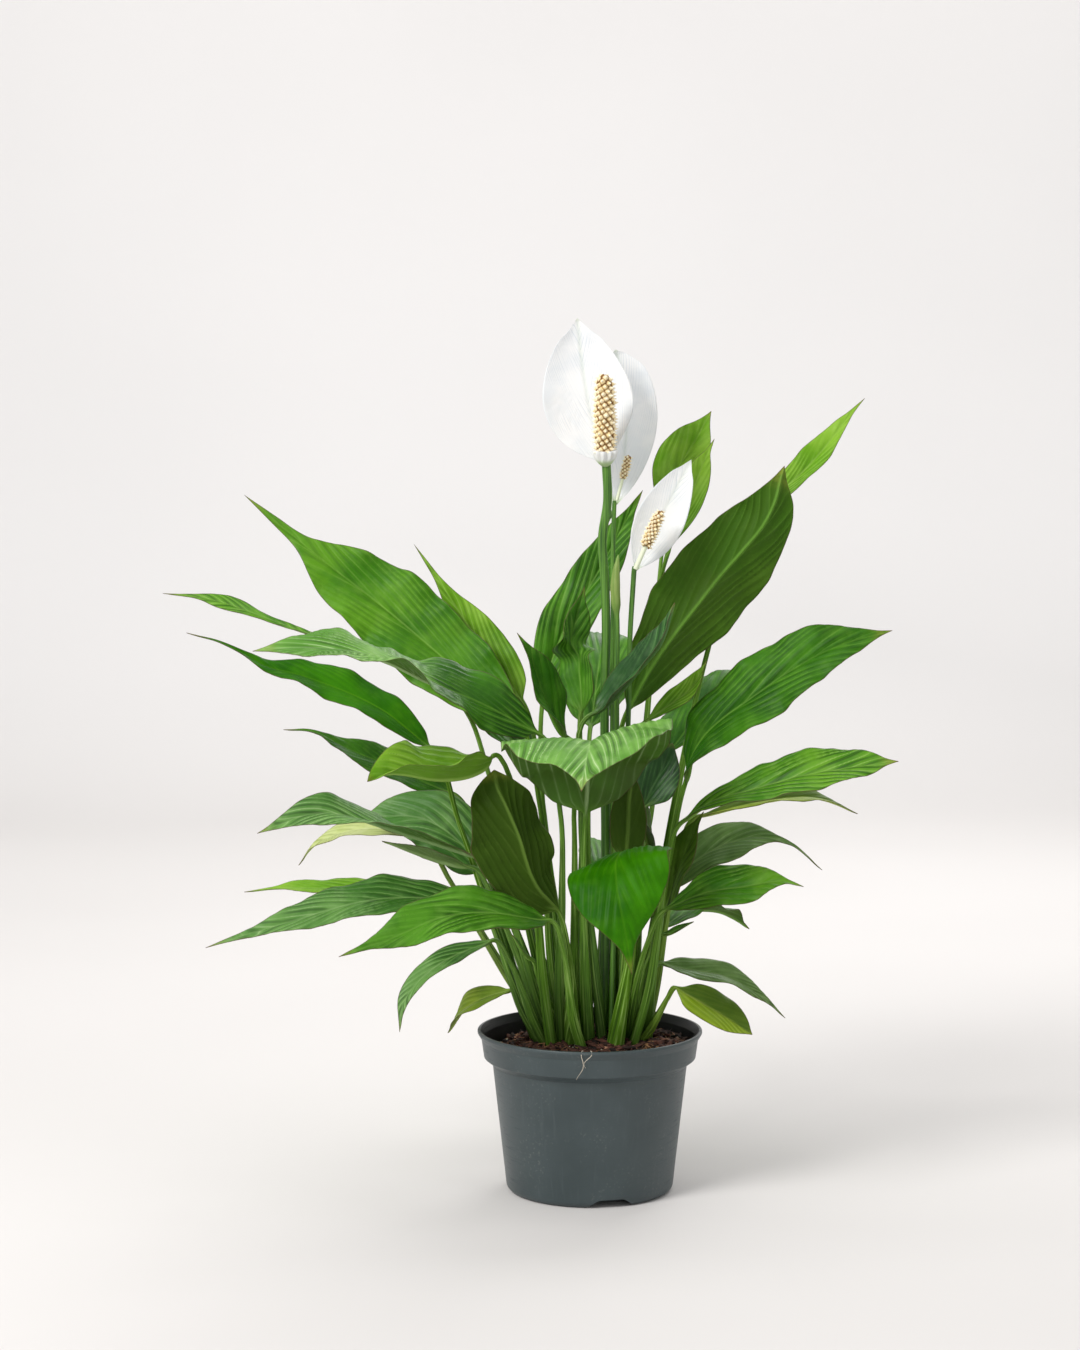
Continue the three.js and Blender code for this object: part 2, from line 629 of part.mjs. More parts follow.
function budGeometry() {
  const { curve, radius } = fixedStalks.at(-1);
  const from = 1 - 47 / curve.getLength();
  const radiusAt = (s) => {
    if (s <= from) return radius;
    const t = (s - from) / (1 - from);
    return radius + (BUD.swelling - radius) * Math.sin(Math.PI * t ** 0.7) - radius * 0.8 * t ** 3;
  };
  const shares = [0, 0.2, 0.4, 0.6, 0.76, from, 0.9, 0.93, 0.96, 0.985, 0.997];
  return bar(curve, radiusAt, shares);
}

// ---------------------------------------------------------------- pot and potting mix

function solid(geometry) {
  const plain = geometry.clone();
  plain.deleteAttribute("normal");
  plain.deleteAttribute("uv");
  const merged = mergeVertices(plain, 1e-4);
  return new wasm.Manifold(
    new wasm.Mesh({
      numProp: 3,
      vertProperties: new Float32Array(merged.attributes.position.array),
      triVerts: new Uint32Array(merged.index.array),
    }),
  );
}

function geometryOf(manifold) {
  const mesh = manifold.getMesh();
  const geometry = new THREE.BufferGeometry();
  geometry.setAttribute("position", new THREE.BufferAttribute(new Float32Array(mesh.vertProperties), 3));
  geometry.setIndex(new THREE.BufferAttribute(new Uint32Array(mesh.triVerts), 1));
  return geometry;
}

// A solid of revolution about Z from [radius, height] points that run up the outside from the axis to the axis.
function turned(profile, sides = POT_SIDES) {
  const geometry = new THREE.LatheGeometry(profile.map(([r, z]) => new THREE.Vector2(r, z)), sides);
  return solid(geometry.rotateX(Math.PI / 2));
}

// A quarter round from the foot's flat to the wall.
function roundedFoot(radius, foot, rounding) {
  return [0, 30, 60, 90].map((degrees) => {
    const a = (degrees * Math.PI) / 180;
    return [radius - rounding + rounding * Math.sin(a), foot + rounding - rounding * Math.cos(a)];
  });
}

// A raised drainage arch on the foot plane, grown by grow on every side, that runs outwards under the wall.
function archBlock(degrees, grow) {
  const width = ARCH_WIDTH + 2 * grow;
  const height = ARCH_HEIGHT + 1.3 * grow;
  const shape = new THREE.Shape();
  shape.moveTo(-width / 2 - 2, -5);
  shape.lineTo(-width / 2, 0);
  shape.bezierCurveTo(-0.34 * width, 0, -0.36 * width, height, -0.2 * width, height);
  shape.lineTo(0.2 * width, height);
  shape.bezierCurveTo(0.36 * width, height, 0.34 * width, 0, width / 2, 0);
  shape.lineTo(width / 2 + 2, -5);
  const settings = { depth: FOOT_RADIUS, bevelEnabled: false, curveSegments: 5 };
  const geometry = new THREE.ExtrudeGeometry(shape, settings);
  geometry.rotateX(Math.PI / 2).rotateZ(Math.PI / 2);
  geometry.translate(ARCH_START - grow, 0, 0);
  geometry.rotateZ((degrees * Math.PI) / 180);
  return solid(geometry);
}

function drainHole(radius, degrees) {
  const geometry = new THREE.CylinderGeometry(DRAIN_HOLE_RADIUS, DRAIN_HOLE_RADIUS, 40, 12);
  geometry.rotateX(Math.PI / 2).translate(radius, 0, 0).rotateZ((degrees * Math.PI) / 180);
  return solid(geometry);
}

const archDegrees = Array.from({ length: ARCHES }, (_, i) => FIRST_ARCH + (360 / ARCHES) * i);
const bandFoot = POT_HEIGHT - RIM_BAND;

function potGeometry() {
  const outside = turned([
    [0, 0],
    ...roundedFoot(FOOT_RADIUS, 0, FOOT_ROUND),
    [WALL_TOP_RADIUS, bandFoot - BAND_STEP],
    [BAND_FOOT_RADIUS - 0.8, bandFoot - 0.6],
    [BAND_FOOT_RADIUS, bandFoot + 1],
    [LIP_FOOT_RADIUS, POT_HEIGHT - LIP_HEIGHT],
    [RIM_RADIUS, POT_HEIGHT - 1.6],
    [RIM_RADIUS - 0.7, POT_HEIGHT],
    [0, POT_HEIGHT],
  ]);
  const inside = turned([
    [0, POT_FLOOR],
    ...roundedFoot(FOOT_RADIUS - POT_WALL, POT_FLOOR, FOOT_ROUND - POT_WALL),
    [WALL_TOP_RADIUS - POT_WALL, bandFoot - BAND_STEP + 0.6],
    [BAND_FOOT_RADIUS - POT_WALL - 0.6, bandFoot + 1],
    [LIP_FOOT_RADIUS - POT_WALL - 0.2, POT_HEIGHT - LIP_HEIGHT + 0.8],
    [RIM_RADIUS - POT_WALL - 0.4, POT_HEIGHT + 1],
    [0, POT_HEIGHT + 1],
  ]);
  let hollow = inside;
  let body = outside;
  for (const degrees of archDegrees) {
    body = body.subtract(archBlock(degrees, 0));
    hollow = hollow.subtract(archBlock(degrees, POT_WALL));
  }
  let pot = body.subtract(hollow);
  for (const degrees of archDegrees) {
    pot = pot.subtract(drainHole(50, degrees));
    pot = pot.subtract(drainHole(34, degrees + 60));
  }
  return geometryOf(pot);
}

function mixGeometry() {
  const filled = turned([
    [0, POT_FLOOR + GAP],
    ...roundedFoot(FOOT_RADIUS - POT_WALL - GAP, POT_FLOOR + GAP, FOOT_ROUND - POT_WALL - GAP),
    [WALL_TOP_RADIUS - POT_WALL - GAP, bandFoot - BAND_STEP + 0.6 + GAP],
    [BAND_FOOT_RADIUS - POT_WALL - 0.6 - GAP, bandFoot + 1 + GAP],
    [BAND_FOOT_RADIUS - POT_WALL - 0.2, MIX_EDGE - 1],
    [72, MIX_EDGE],
    [48, mixHeight(48)],
    [24, mixHeight(24)],
    [0, MIX_CROWN],
  ]);
  const cut = (mix, degrees) => mix.subtract(archBlock(degrees, POT_WALL + GAP));
  return geometryOf(archDegrees.reduce(cut, filled));
}

// ---------------------------------------------------------------- materials and assembly

const paint = (color, roughness) => new THREE.MeshStandardMaterial({ color, roughness, metalness: 0 });
const POT_PLASTIC = paint(0x47524f, 0.55);
const MIX = paint(0x2b1c14, 0.95);
const LEAF_GREEN = paint(0x3f7a26, 0.45);
const LEAF_PALE = paint(0xa3b95a, 0.5);
const PALE_LEAVES = ["leaf_left_pale", "leaf_left_small", "leaf_right_yellow", "leaf_right_hidden"];
const STALK_GREEN = paint(0x4d7f2c, 0.5);
const SPATHE_WHITE = paint(0xf4f4ee, 0.55);
const SPADIX_CREAM = paint(0xd9bd8b, 0.7);
const BUD_GREEN = paint(0xb9cf8e, 0.5);

const plant = new THREE.Group();

function add(name, geometry, material) {
  const mesh = new THREE.Mesh(geometry, material);
  mesh.name = name;
  plant.add(mesh);
}

add("pot", potGeometry(), POT_PLASTIC);
add("potting_mix", mixGeometry(), MIX);
for (const leaf of leaves) {
  add(leaf.name, leaf.geometry(), PALE_LEAVES.includes(leaf.name) ? LEAF_PALE : LEAF_GREEN);
}
Object.entries(FLOWERS).forEach(([name, flower], i) => {
  add(name + "_stalk", flowerStalk(fixedStalks[i].curve, flower.stalkRadius), STALK_GREEN);
  add(name + "_spathe", spatheGeometry(flower), SPATHE_WHITE);
  add(name + "_spadix", spadixGeometry(flower), SPADIX_CREAM);
});
add("flower_bud", budGeometry(), BUD_GREEN);

export default plant;
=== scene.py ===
"""The looks of a potted peace lily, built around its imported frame.

Metres, +Z up, and -Y is the front. Every leaf, bract and stalk follows the rings of its CAD node, so its line
is the frame's. The fine surface, with veins, ribs, waves and grain, is made here.
"""
import math
import random

import bmesh
import bpy
import numpy as np
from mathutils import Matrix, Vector, noise


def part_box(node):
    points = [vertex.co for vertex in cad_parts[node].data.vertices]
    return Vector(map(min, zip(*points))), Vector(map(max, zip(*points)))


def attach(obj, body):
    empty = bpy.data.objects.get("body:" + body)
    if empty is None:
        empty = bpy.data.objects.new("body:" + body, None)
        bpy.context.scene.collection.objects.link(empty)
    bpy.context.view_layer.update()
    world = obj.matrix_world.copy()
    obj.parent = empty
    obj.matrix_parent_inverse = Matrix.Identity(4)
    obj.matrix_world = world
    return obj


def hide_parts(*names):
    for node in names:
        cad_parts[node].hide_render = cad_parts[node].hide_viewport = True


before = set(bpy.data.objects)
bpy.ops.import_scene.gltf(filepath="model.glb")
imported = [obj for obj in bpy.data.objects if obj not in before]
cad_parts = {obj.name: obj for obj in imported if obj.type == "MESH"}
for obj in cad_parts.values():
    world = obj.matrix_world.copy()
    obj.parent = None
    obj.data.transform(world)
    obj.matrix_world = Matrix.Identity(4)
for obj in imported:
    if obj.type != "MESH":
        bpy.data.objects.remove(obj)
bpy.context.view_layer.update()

MM = 0.001
STALK_RINGS = 5  # the first rings of a leaf's node are its stalk's, and the last of them is the neck
CREST = 0.5 * MM  # height of the midrib's crest over the middle of the blade in the CAD nodes
BURIED = 7 * MM  # how far a stalk goes on below the top of the mix


# ---------------------------------------------------------------- reading the CAD nodes


def cad_rings(node, flat_foot=False):
    """The rings of a lofted CAD node from its foot to its tip, and its two poles.

    Every ring runs the same way round, as the faces do. flat_foot says that the foot is the end whose first
    ring is level; otherwise it is the lower end.
    """
    bm = bmesh.new()
    bm.from_mesh(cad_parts[node].data)
    bmesh.ops.remove_doubles(bm, verts=bm.verts, dist=1e-6)

    def around(vert):
        return [edge.other_vert(vert) for edge in vert.link_edges]

    def unevenness(vert):
        heights = [other.co.z for other in around(vert)] + [vert.co.z]
        return max(heights) - min(heights)

    poles = [v for v in bm.verts if all(len(other.link_edges) == 5 for other in around(v))]
    foot = min(poles, key=unevenness if flat_foot else lambda v: v.co.z)
    after = {}
    for face in foot.link_faces:
        corners = list(face.verts)
        k = corners.index(foot)
        after[corners[(k + 2) % 3]] = corners[(k + 1) % 3]
    ring = [foot.link_faces[0].verts[0]]
    if ring[0] is foot:
        ring = [foot.link_faces[0].verts[1]]
    while len(ring) < len(after):
        ring.append(after[ring[-1]])
    seen = {foot, *ring}
    rings = [ring]
    while True:
        place = {vert: i for i, vert in enumerate(ring)}
        count = len(ring)
        onward = {}
        for vert in ring:
            for other in around(vert):
                if other not in seen:
                    onward.setdefault(other, []).append(place[vert])
        if len(onward) == 1:
            tip = next(iter(onward))
            break
        ring = [None] * count
        for vert, (a, b) in onward.items():
            ring[b if (a + 1) % count == b else a] = vert
        seen.update(ring)
        rings.append(ring)
    points = np.array([[vert.co[:] for vert in ring] for ring in rings])
    ends = np.array(foot.co), np.array(tip.co)
    bm.free()
    return points, ends[0], ends[1]


def unit(rows):
    return rows / np.linalg.norm(rows, axis=-1, keepdims=True)


def lengths(path):
    """How far along a path each of its points is."""
    return np.concatenate([[0], np.cumsum(np.linalg.norm(np.diff(path, axis=0), axis=1))])


def ring_radii(rings):
    return np.linalg.norm(rings - rings.mean(1)[:, None], axis=2).mean(1)


def smooth(knots, rows, at, steady=False):
    """A curve through rows at knots, read at the places at. A steady one has no swing between the knots."""
    rows = np.asarray(rows, float).reshape(len(knots), -1)
    step = np.diff(knots)[:, None]
    slope = np.diff(rows, axis=0) / step
    bend = np.empty_like(rows)
    bend[1:-1] = (slope[:-1] * step[1:] + slope[1:] * step[:-1]) / (step[:-1] + step[1:])
    bend[0], bend[-1] = slope[0], slope[-1]
    if steady:
        turning = slope[:-1] * slope[1:] <= 0
        least = 2.4 * np.minimum(np.abs(slope[:-1]), np.abs(slope[1:]))
        bend[1:-1] = np.where(turning, 0, np.clip(bend[1:-1], -least, least))
    k = np.clip(np.searchsorted(knots, at, side="right") - 1, 0, len(step) - 1)
    t = ((at - knots[k]) / step[k, 0])[:, None]
    curve = rows[k] * (2 * t**3 - 3 * t**2 + 1) + rows[k + 1] * (3 * t**2 - 2 * t**3)
    return curve + step[k] * (bend[k] * (t**3 - 2 * t**2 + t) + bend[k + 1] * (t**3 - t**2))


def ramp(value, low, high):
    t = np.clip((value - low) / (high - low), 0, 1)
    return t * t * (3 - 2 * t)


# ---------------------------------------------------------------- making meshes


def turn_matrix(yaw, pitch, roll):
    cy, sy, cp, sp, cr, sr = (f(a) for a in (yaw, pitch, roll) for f in (math.cos, math.sin))
    about_z = np.array([[cy, -sy, 0], [sy, cy, 0], [0, 0, 1]])
    about_y = np.array([[cp, 0, sp], [0, 1, 0], [-sp, 0, cp]])
    about_x = np.array([[1, 0, 0], [0, cr, -sr], [0, sr, cr]])
    return about_z @ about_y @ about_x


def store(mesh, key, column):
    """Keeps one number per point under a name that the materials read."""
    layer = mesh.attributes.new(key, "FLOAT", "POINT")
    layer.data.foreach_set("value", column.astype(np.float32).ravel())


def place_mesh(name, points, faces, material, values=None, uvs=None):
    """A smooth-shaded object from points and a list of face arrays, each with its own number of corners."""
    mesh = bpy.data.meshes.new(name)
    points = np.asarray(points, np.float32)
    mesh.vertices.add(len(points))
    mesh.vertices.foreach_set("co", points.ravel())
    corners = np.concatenate([f.ravel() for f in faces]).astype(np.int32)
    sizes = np.concatenate([np.full(len(f), f.shape[1], np.int32) for f in faces])
    mesh.loops.add(len(corners))
    mesh.loops.foreach_set("vertex_index", corners)
    mesh.polygons.add(len(sizes))
    mesh.polygons.foreach_set("loop_start", np.concatenate([[0], np.cumsum(sizes)[:-1]]).astype(np.int32))
    mesh.polygons.foreach_set("use_smooth", np.ones(len(sizes), bool))
    if uvs is not None:
        mesh.uv_layers.new(name="OFBake").uv.foreach_set("vector", uvs.astype(np.float32).ravel())
    for key, column in (values or {}).items():
        store(mesh, key, column)
    mesh.update(calc_edges=True)
    mesh.validate()
    mesh.materials.append(material)
    obj = bpy.data.objects.new(name, mesh)
    bpy.context.scene.collection.objects.link(obj)
    return obj


def copies(name, shapes, faces, material, values):
    """One mesh of many shapes with the same faces. values holds a number per shape, per point or for all."""
    size = len(shapes[0])
    grid = (len(shapes), size)
    corners = np.concatenate([faces + k * size for k in range(len(shapes))])
    values = {key: np.broadcast_to(column, grid) for key, column in values.items()}
    return place_mesh(name, np.concatenate(shapes), [corners], material, values)


def loft_faces(count, n, first=0):
    """The quads and two fans of a loft of count rings of n points, whose foot's pole has the number first."""
    i = np.arange(n)
    j = (i + 1) % n
    base = first + 1 + np.arange(count - 1)[:, None] * n
    last = first + 1 + count * n
    quads = np.stack([base + i, base + j, base + n + j, base + n + i], -1).reshape(-1, 4)
    start = np.stack([np.full(n, first), first + 1 + j, first + 1 + i], -1)
    end = np.stack([np.full(n, last), last - n + i, last - n + j], -1)
    return quads, start, end


def loft(name, rings, foot, tip, material, values=None):
    """A closed surface through rings of points, with a pole at each end. values holds a number per point."""
    count, n = rings.shape[:2]
    points = np.concatenate([[foot], rings.reshape(-1, 3), [tip]])
    across, across_next = np.arange(n) / n, (np.arange(n) + 1) / n
    up = (np.arange(count) + 1) / (count + 1)
    low, high = up[:-1, None], up[1:, None]
    uvs = []
    for face in (
        [(across, low), (across_next, low), (across_next, high), (across, high)],
        [(across, 0.0), (across_next, up[0]), (across, up[0])],
        [(across, 1.0), (across, up[-1]), (across_next, up[-1])],
    ):
        corners = [np.stack(np.broadcast_arrays(*uv), -1) for uv in face]
        uvs.append(np.stack(corners, -2).reshape(-1, 2))
    columns = {}
    for key, column in (values or {}).items():
        column = column.reshape(count, n)
        columns[key] = np.concatenate([[column[0].mean()], column.ravel(), [column[-1].mean()]])
    return place_mesh(name, points, list(loft_faces(count, n)), material, columns, np.concatenate(uvs))


def turns(sides):
    """Equal steps of angle once round; a negative number of sides goes round the other way."""
    return 2 * math.pi * np.arange(abs(sides)) / sides


def spokes(side, front, angle):
    """Unit vectors at the angles, from side towards front."""
    return side * np.cos(angle)[:, None] + front * np.sin(angle)[:, None]


def across_axis(axis):
    """Two directions square to an axis: to its side, and to its front."""
    side = unit(np.cross(axis, [0, -1, 0]))
    return side, np.cross(side, axis)


def level_ring(radius, z, angle, x=0.0, y=0.0):
    return [(x + radius * math.cos(a), y + radius * math.sin(a), z) for a in angle]


def ball(subdivisions):
    bm = bmesh.new()
    bmesh.ops.create_icosphere(bm, subdivisions=subdivisions, radius=1)
    points = np.array([v.co[:] for v in bm.verts])
    faces = np.array([[v.index for v in f.verts] for f in bm.faces])
    bm.free()
    return points, faces


def piece(obj, slot, *nodes):
    """Hangs a finished object on the one body, where it stands for the nodes, which are hidden."""
    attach(obj, "root")
    if nodes:
        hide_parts(*nodes)
    return obj


# ---------------------------------------------------------------- materials


def linear(red, green, blue):
    """A colour given as eight-bit sRGB values."""
    def channel(c):
        c /= 255
        return c / 12.92 if c <= 0.04045 else ((c + 0.055) / 1.055) ** 2.4
    return channel(red), channel(green), channel(blue), 1.0


class Graph:
    """Short calls for a material's node tree."""

    def __init__(self, name, **plain):
        self.material = bpy.data.materials.new(name)
        self.material.use_nodes = True
        self.tree = self.material.node_tree
        self.shader = self.tree.nodes["Principled BSDF"]
        for socket, value in plain.items():
            self.shader.inputs[socket.replace("_", " ")].default_value = value

    def node(self, kind, **settings):
        made = self.tree.nodes.new("ShaderNode" + kind)
        for key, value in settings.items():
            setattr(made, key, value)
        return made

    def set(self, socket, value):
        """Links a socket, or gives it a number, a vector or an sRGB colour."""
        if isinstance(value, bpy.types.NodeSocket):
            self.tree.links.new(value, socket)
        elif value is not None:
            is_colour = socket.type == "RGBA"
            socket.default_value = linear(*value) if is_colour else value

    def math(self, operation, a, b=None, c=None):
        made = self.node("Math", operation=operation)
        for socket, value in zip(made.inputs, (a, b, c)):
            self.set(socket, value)
        return made.outputs[0]

    def times(self, a, b):
        return self.math("MULTIPLY", a, b)

    def plus(self, a, b):
        return self.math("ADD", a, b)

    def off_line(self, value, per_unit=1):
        """How far a value is from the nearest vein, from 0 on it to 1 half way to the next."""
        return self.math("ABSOLUTE", self.math("SINE", self.times(value, per_unit * math.pi)))

    def read(self, *names):
        """The numbers that store() keeps with the mesh."""
        return [self.node("Attribute", attribute_name=name).outputs["Fac"] for name in names]

    def place(self, stretch=(1, 1, 1)):
        """The object's own coordinates, in metres, stretched along each axis."""
        mapping = self.node("Mapping")
        mapping.inputs["Scale"].default_value = stretch
        self.set(mapping.inputs["Vector"], self.node("TexCoord").outputs["Object"])
        return mapping.outputs[0]

    def noise(self, scale, detail=3, where=None):
        made = self.node("TexNoise")
        settings = {"Scale": scale, "Detail": detail, "Roughness": 0.55, "Vector": where or self.place()}
        for key, value in settings.items():
            self.set(made.inputs[key], value)
        return made.outputs["Fac"]

    def streaks(self, detail, *stretch):
        """Noise stretched by its own amount along each axis."""
        return self.noise(1, detail, self.place(stretch))

    def span(self, value, low, high, to_low=0.0, to_high=1.0):
        """A value's smooth way from low to high, as a number from to_low to to_high."""
        made = self.node("MapRange", interpolation_type="SMOOTHSTEP")
        for socket, number in zip(made.inputs, (value, low, high, to_low, to_high)):
            self.set(socket, number)
        return made.outputs[0]

    def mix(self, share, a, b):
        """A colour's share of the way from a to b."""
        made = self.node("Mix", data_type="RGBA")
        for index, value in ((0, share), (6, a), (7, b)):
            self.set(made.inputs[index], value)
        return made.outputs[2]

    def over(self, colour, new, value, *limits):
        """Lays a new colour over another where a value is high; the limits are those of span."""
        return self.mix(self.span(value, *limits), colour, new)

    def split(self, vector, axis):
        made = self.node("SeparateXYZ")
        self.set(made.inputs[0], vector)
        return made.outputs[axis]

    def bump(self, height, distance, strength, below=None):
        made = self.node("Bump")
        settings = {"Distance": distance, "Strength": strength, "Height": height, "Normal": below}
        for key, value in settings.items():
            self.set(made.inputs[key], value)
        return made.outputs[0]

    def paint(self, colour, roughness, normal=None):
        for socket, value in (("Base Color", colour), ("Roughness", roughness), ("Normal", normal)):
            self.set(self.shader.inputs[socket], value)

    def let_through(self, share, colour):
        """Mixes in light that comes through a thin blade from its other side."""
        glow = self.node("BsdfTranslucent")
        self.set(glow.inputs["Color"], colour)
        both = self.node("MixShader")
        both.inputs[0].default_value = share
        self.set(both.inputs[1], self.shader.outputs[0])
        self.set(both.inputs[2], glow.outputs[0])
        self.set(self.tree.nodes["Material Output"].inputs["Surface"], both.outputs[0])


# A leaf's colours: painted shade and painted light on the upper face, vein stripes, underside, stalk. Then
# how far the blade's inner part darkens to the deep green as painted shade, its gloss, and how strongly its
# veins stand out.
TONES = {
    "deep": [(38, 94, 4), (66, 128, 14), (116, 168, 60), (68, 102, 20), (96, 140, 40), 0.0, 0.14, 0.65],
    "mid": [(50, 106, 10), (84, 146, 30), (138, 186, 82), (80, 112, 28), (98, 142, 42), 0.2, 0.18, 0.85],
    "bright": [(34, 96, 0), (56, 126, 0), (92, 152, 24), (68, 102, 18), (84, 126, 24), 0.0, 0.08, 0.3],
    "clear": [(60, 122, 8), (92, 150, 24), (140, 184, 78), (78, 112, 26), (90, 134, 34), 0.35, 0.16, 0.45],
    "lime": [(64, 128, 12), (104, 162, 34), (156, 196, 96), (78, 112, 26), (90, 134, 34), 0.35, 0.16, 1.0],
    "sunny": [
        (108, 166, 28), (142, 190, 56), (176, 210, 108), (104, 144, 44), (96, 142, 36),
        0.25, 0.14, 0.65,
    ],
    # painted sheen: this tone's pale green stands for the sheen on a blade's outer part
    "pale_sheen": [(90, 150, 46), (132, 186, 82), (202, 232, 166), (66, 92, 24), (92, 138, 36), 1.0, 0.3, 1.0],
    "blue": [(30, 74, 26), (58, 110, 44), (112, 158, 92), (70, 100, 38), (80, 122, 34), 0.0, 0.36, 0.8],
    "grey": [(94, 132, 60), (124, 160, 86), (166, 196, 128), (104, 132, 70), (96, 136, 52), 0.0, 0.26, 0.9],
    "sheen": [(78, 132, 52), (112, 162, 78), (170, 204, 136), (76, 108, 36), (86, 128, 36), 0.5, 0.3, 1.0],
    "olive": [(46, 78, 8), (74, 108, 20), (118, 150, 64), (56, 82, 10), (80, 116, 28), 0.0, 0.14, 0.5],
    "yellow": [
        (140, 172, 26), (172, 198, 54), (202, 218, 112), (134, 158, 52), (112, 146, 42),
        0.0, 0.2, 0.6,
    ],
    "lemon": [(128, 158, 36), (160, 186, 60), (196, 212, 112), (134, 158, 52), (112, 146, 42), 0.3, 0.2, 0.6],
    "pale": [
        (186, 202, 116), (212, 222, 150), (232, 238, 188), (180, 196, 120), (132, 162, 68),
        0.0, 0.2, 0.6,
    ],
}
HALF_SHADED = {"yellow"}  # one half of the blade is laid over with a darker green, as painted shade


def leaf_material(tone):
    *colours, inner, gloss, stripes = TONES[tone]
    shade, lit, stripe, back, stalk = colours
    deep, deep_lit, deep_stripe = TONES["deep"][:3]
    g = Graph("leaf_" + tone, Specular_IOR_Level=gloss)
    vein, rib, edge, across = g.read("vein", "rib", "edge", "across")
    under, along, blade = g.read("under", "along", "blade")
    patches = g.noise(22, 4)
    cloud = g.noise(75, 3)
    # painted shade: the blade's inner part darkens towards the deep green
    inner_shade = g.times(g.span(g.plus(along, g.times(cloud, 0.2)), 0.44, 0.6, 1.0, 0.0), inner)
    # painted light and shade: lit and shaded copies of the green lie in random patches
    body = g.mix(g.span(patches, 0.36, 0.64), g.mix(inner_shade, shade, deep), g.mix(inner_shade, lit, deep_lit))
    light_stripe = g.mix(inner_shade, stripe, deep_stripe)
    body = g.mix(g.times(g.span(cloud, 0.45, 0.75), 0.2), body, light_stripe)
    distance = g.off_line(vein)
    broad = g.span(distance, 0.0, 0.55, 1.0, 0.0)
    line = g.span(distance, 0.0, 0.16, 1.0, 0.0)
    fine = g.span(g.off_line(vein, 4), 0.0, 0.4, 1.0, 0.0)
    uneven = g.span(g.noise(26, 2), 0.36, 0.64, 0.15 * stripes, stripes)
    # pale lines and bands along the veins: partly the veins' own paler green, partly painted highlight on the
    # creases
    light = g.plus(g.times(broad, 0.4), g.times(line, 0.4))
    light = g.times(g.plus(light, g.times(fine, 0.14)), uneven)
    # painted shade: the blade darkens in thin furrows half way between the veins
    crease_shade = g.plus(g.span(distance, 0.5, 1.0, 0.0, 0.3), g.span(distance, 0.84, 1.0, 0.0, 0.6))
    furrow_shade = g.times(crease_shade, uneven)
    body = g.mix(furrow_shade, body, g.mix(0.45, (0, 0, 0), g.mix(inner_shade, shade, deep)))
    upper = g.mix(light, body, light_stripe)
    middle = g.span(rib, 0.3, 1.3, 0.6, 0.0)
    upper = g.mix(g.times(middle, g.span(along, 0.0, 0.8, 1.0, 0.3)), upper, light_stripe)
    # painted shade: the underside darkens in patches towards the shaded green
    lower = g.over(back, shade, patches, 0.3, 0.7, 0.0, 0.4)
    lower = g.mix(g.times(g.plus(line, broad), g.times(uneven, 0.2)), lower, stripe)
    lower = g.over(lower, stripe, rib, 0.8, 2.2, 0.5, 0.0)
    if tone in HALF_SHADED:
        # painted shade: one half of the blade gets a darker green
        green = g.over((52, 86, 14), (78, 112, 26), patches, 0.3, 0.7)
        upper = g.over(upper, green, across, -0.12, 0.12, 0.85, 0.0)
    face = g.mix(under, upper, lower)
    round_stalk = g.node("CombineXYZ")
    g.set(round_stalk.inputs["X"], g.math("MULTIPLY_ADD", under, 11.0, g.times(across, 3.0)))
    g.set(round_stalk.inputs["Y"], g.times(along, 2.2))
    g.set(round_stalk.inputs["Z"], g.times(g.split(g.place(), "X"), 9.0))
    streaks = g.noise(1.4, 4, round_stalk.outputs[0])
    # pale and dark streaks along the stalk: partly its own striations, partly painted highlight and painted
    # shade
    stem = g.mix(g.span(streaks, 0.34, 0.5), g.mix(0.65, stalk, (30, 56, 12)), stalk)
    stem = g.over(stem, (156, 192, 98), streaks, 0.5, 0.66, 0.0, 0.85)
    # painted shade: the stalk darkens towards its foot, among the crowded stalks
    stem = g.over(stem, (20, 42, 8), along, -1.0, -0.7, 0.45, 0.0)
    colour = g.mix(blade, stem, face)
    ripe = g.times(g.span(along, 0.9, 1.0), g.span(g.noise(180, 2), 0.35, 0.6, 0.3, 0.85))
    colour = g.mix(ripe, colour, (140, 152, 56))
    colour = g.mix(g.times(g.span(along, 0.985, 1.0), blade), colour, (112, 82, 48))
    margin = g.times(g.span(edge, 0.15, 0.8, 0.75, 0.0), blade)
    colour = g.mix(margin, colour, (92, 70, 52))
    grain = g.noise(1500, 3)
    gloss = g.plus(g.span(patches, 0.3, 0.7, 0.38, 0.52), g.times(under, 0.14))
    normal = g.bump(fine, 0.00012, 0.6, g.bump(grain, 0.00008, 0.6))
    g.paint(colour, gloss, normal)
    g.let_through(0.15, g.mix(0.5, colour, (130, 190, 0)))
    return g.material


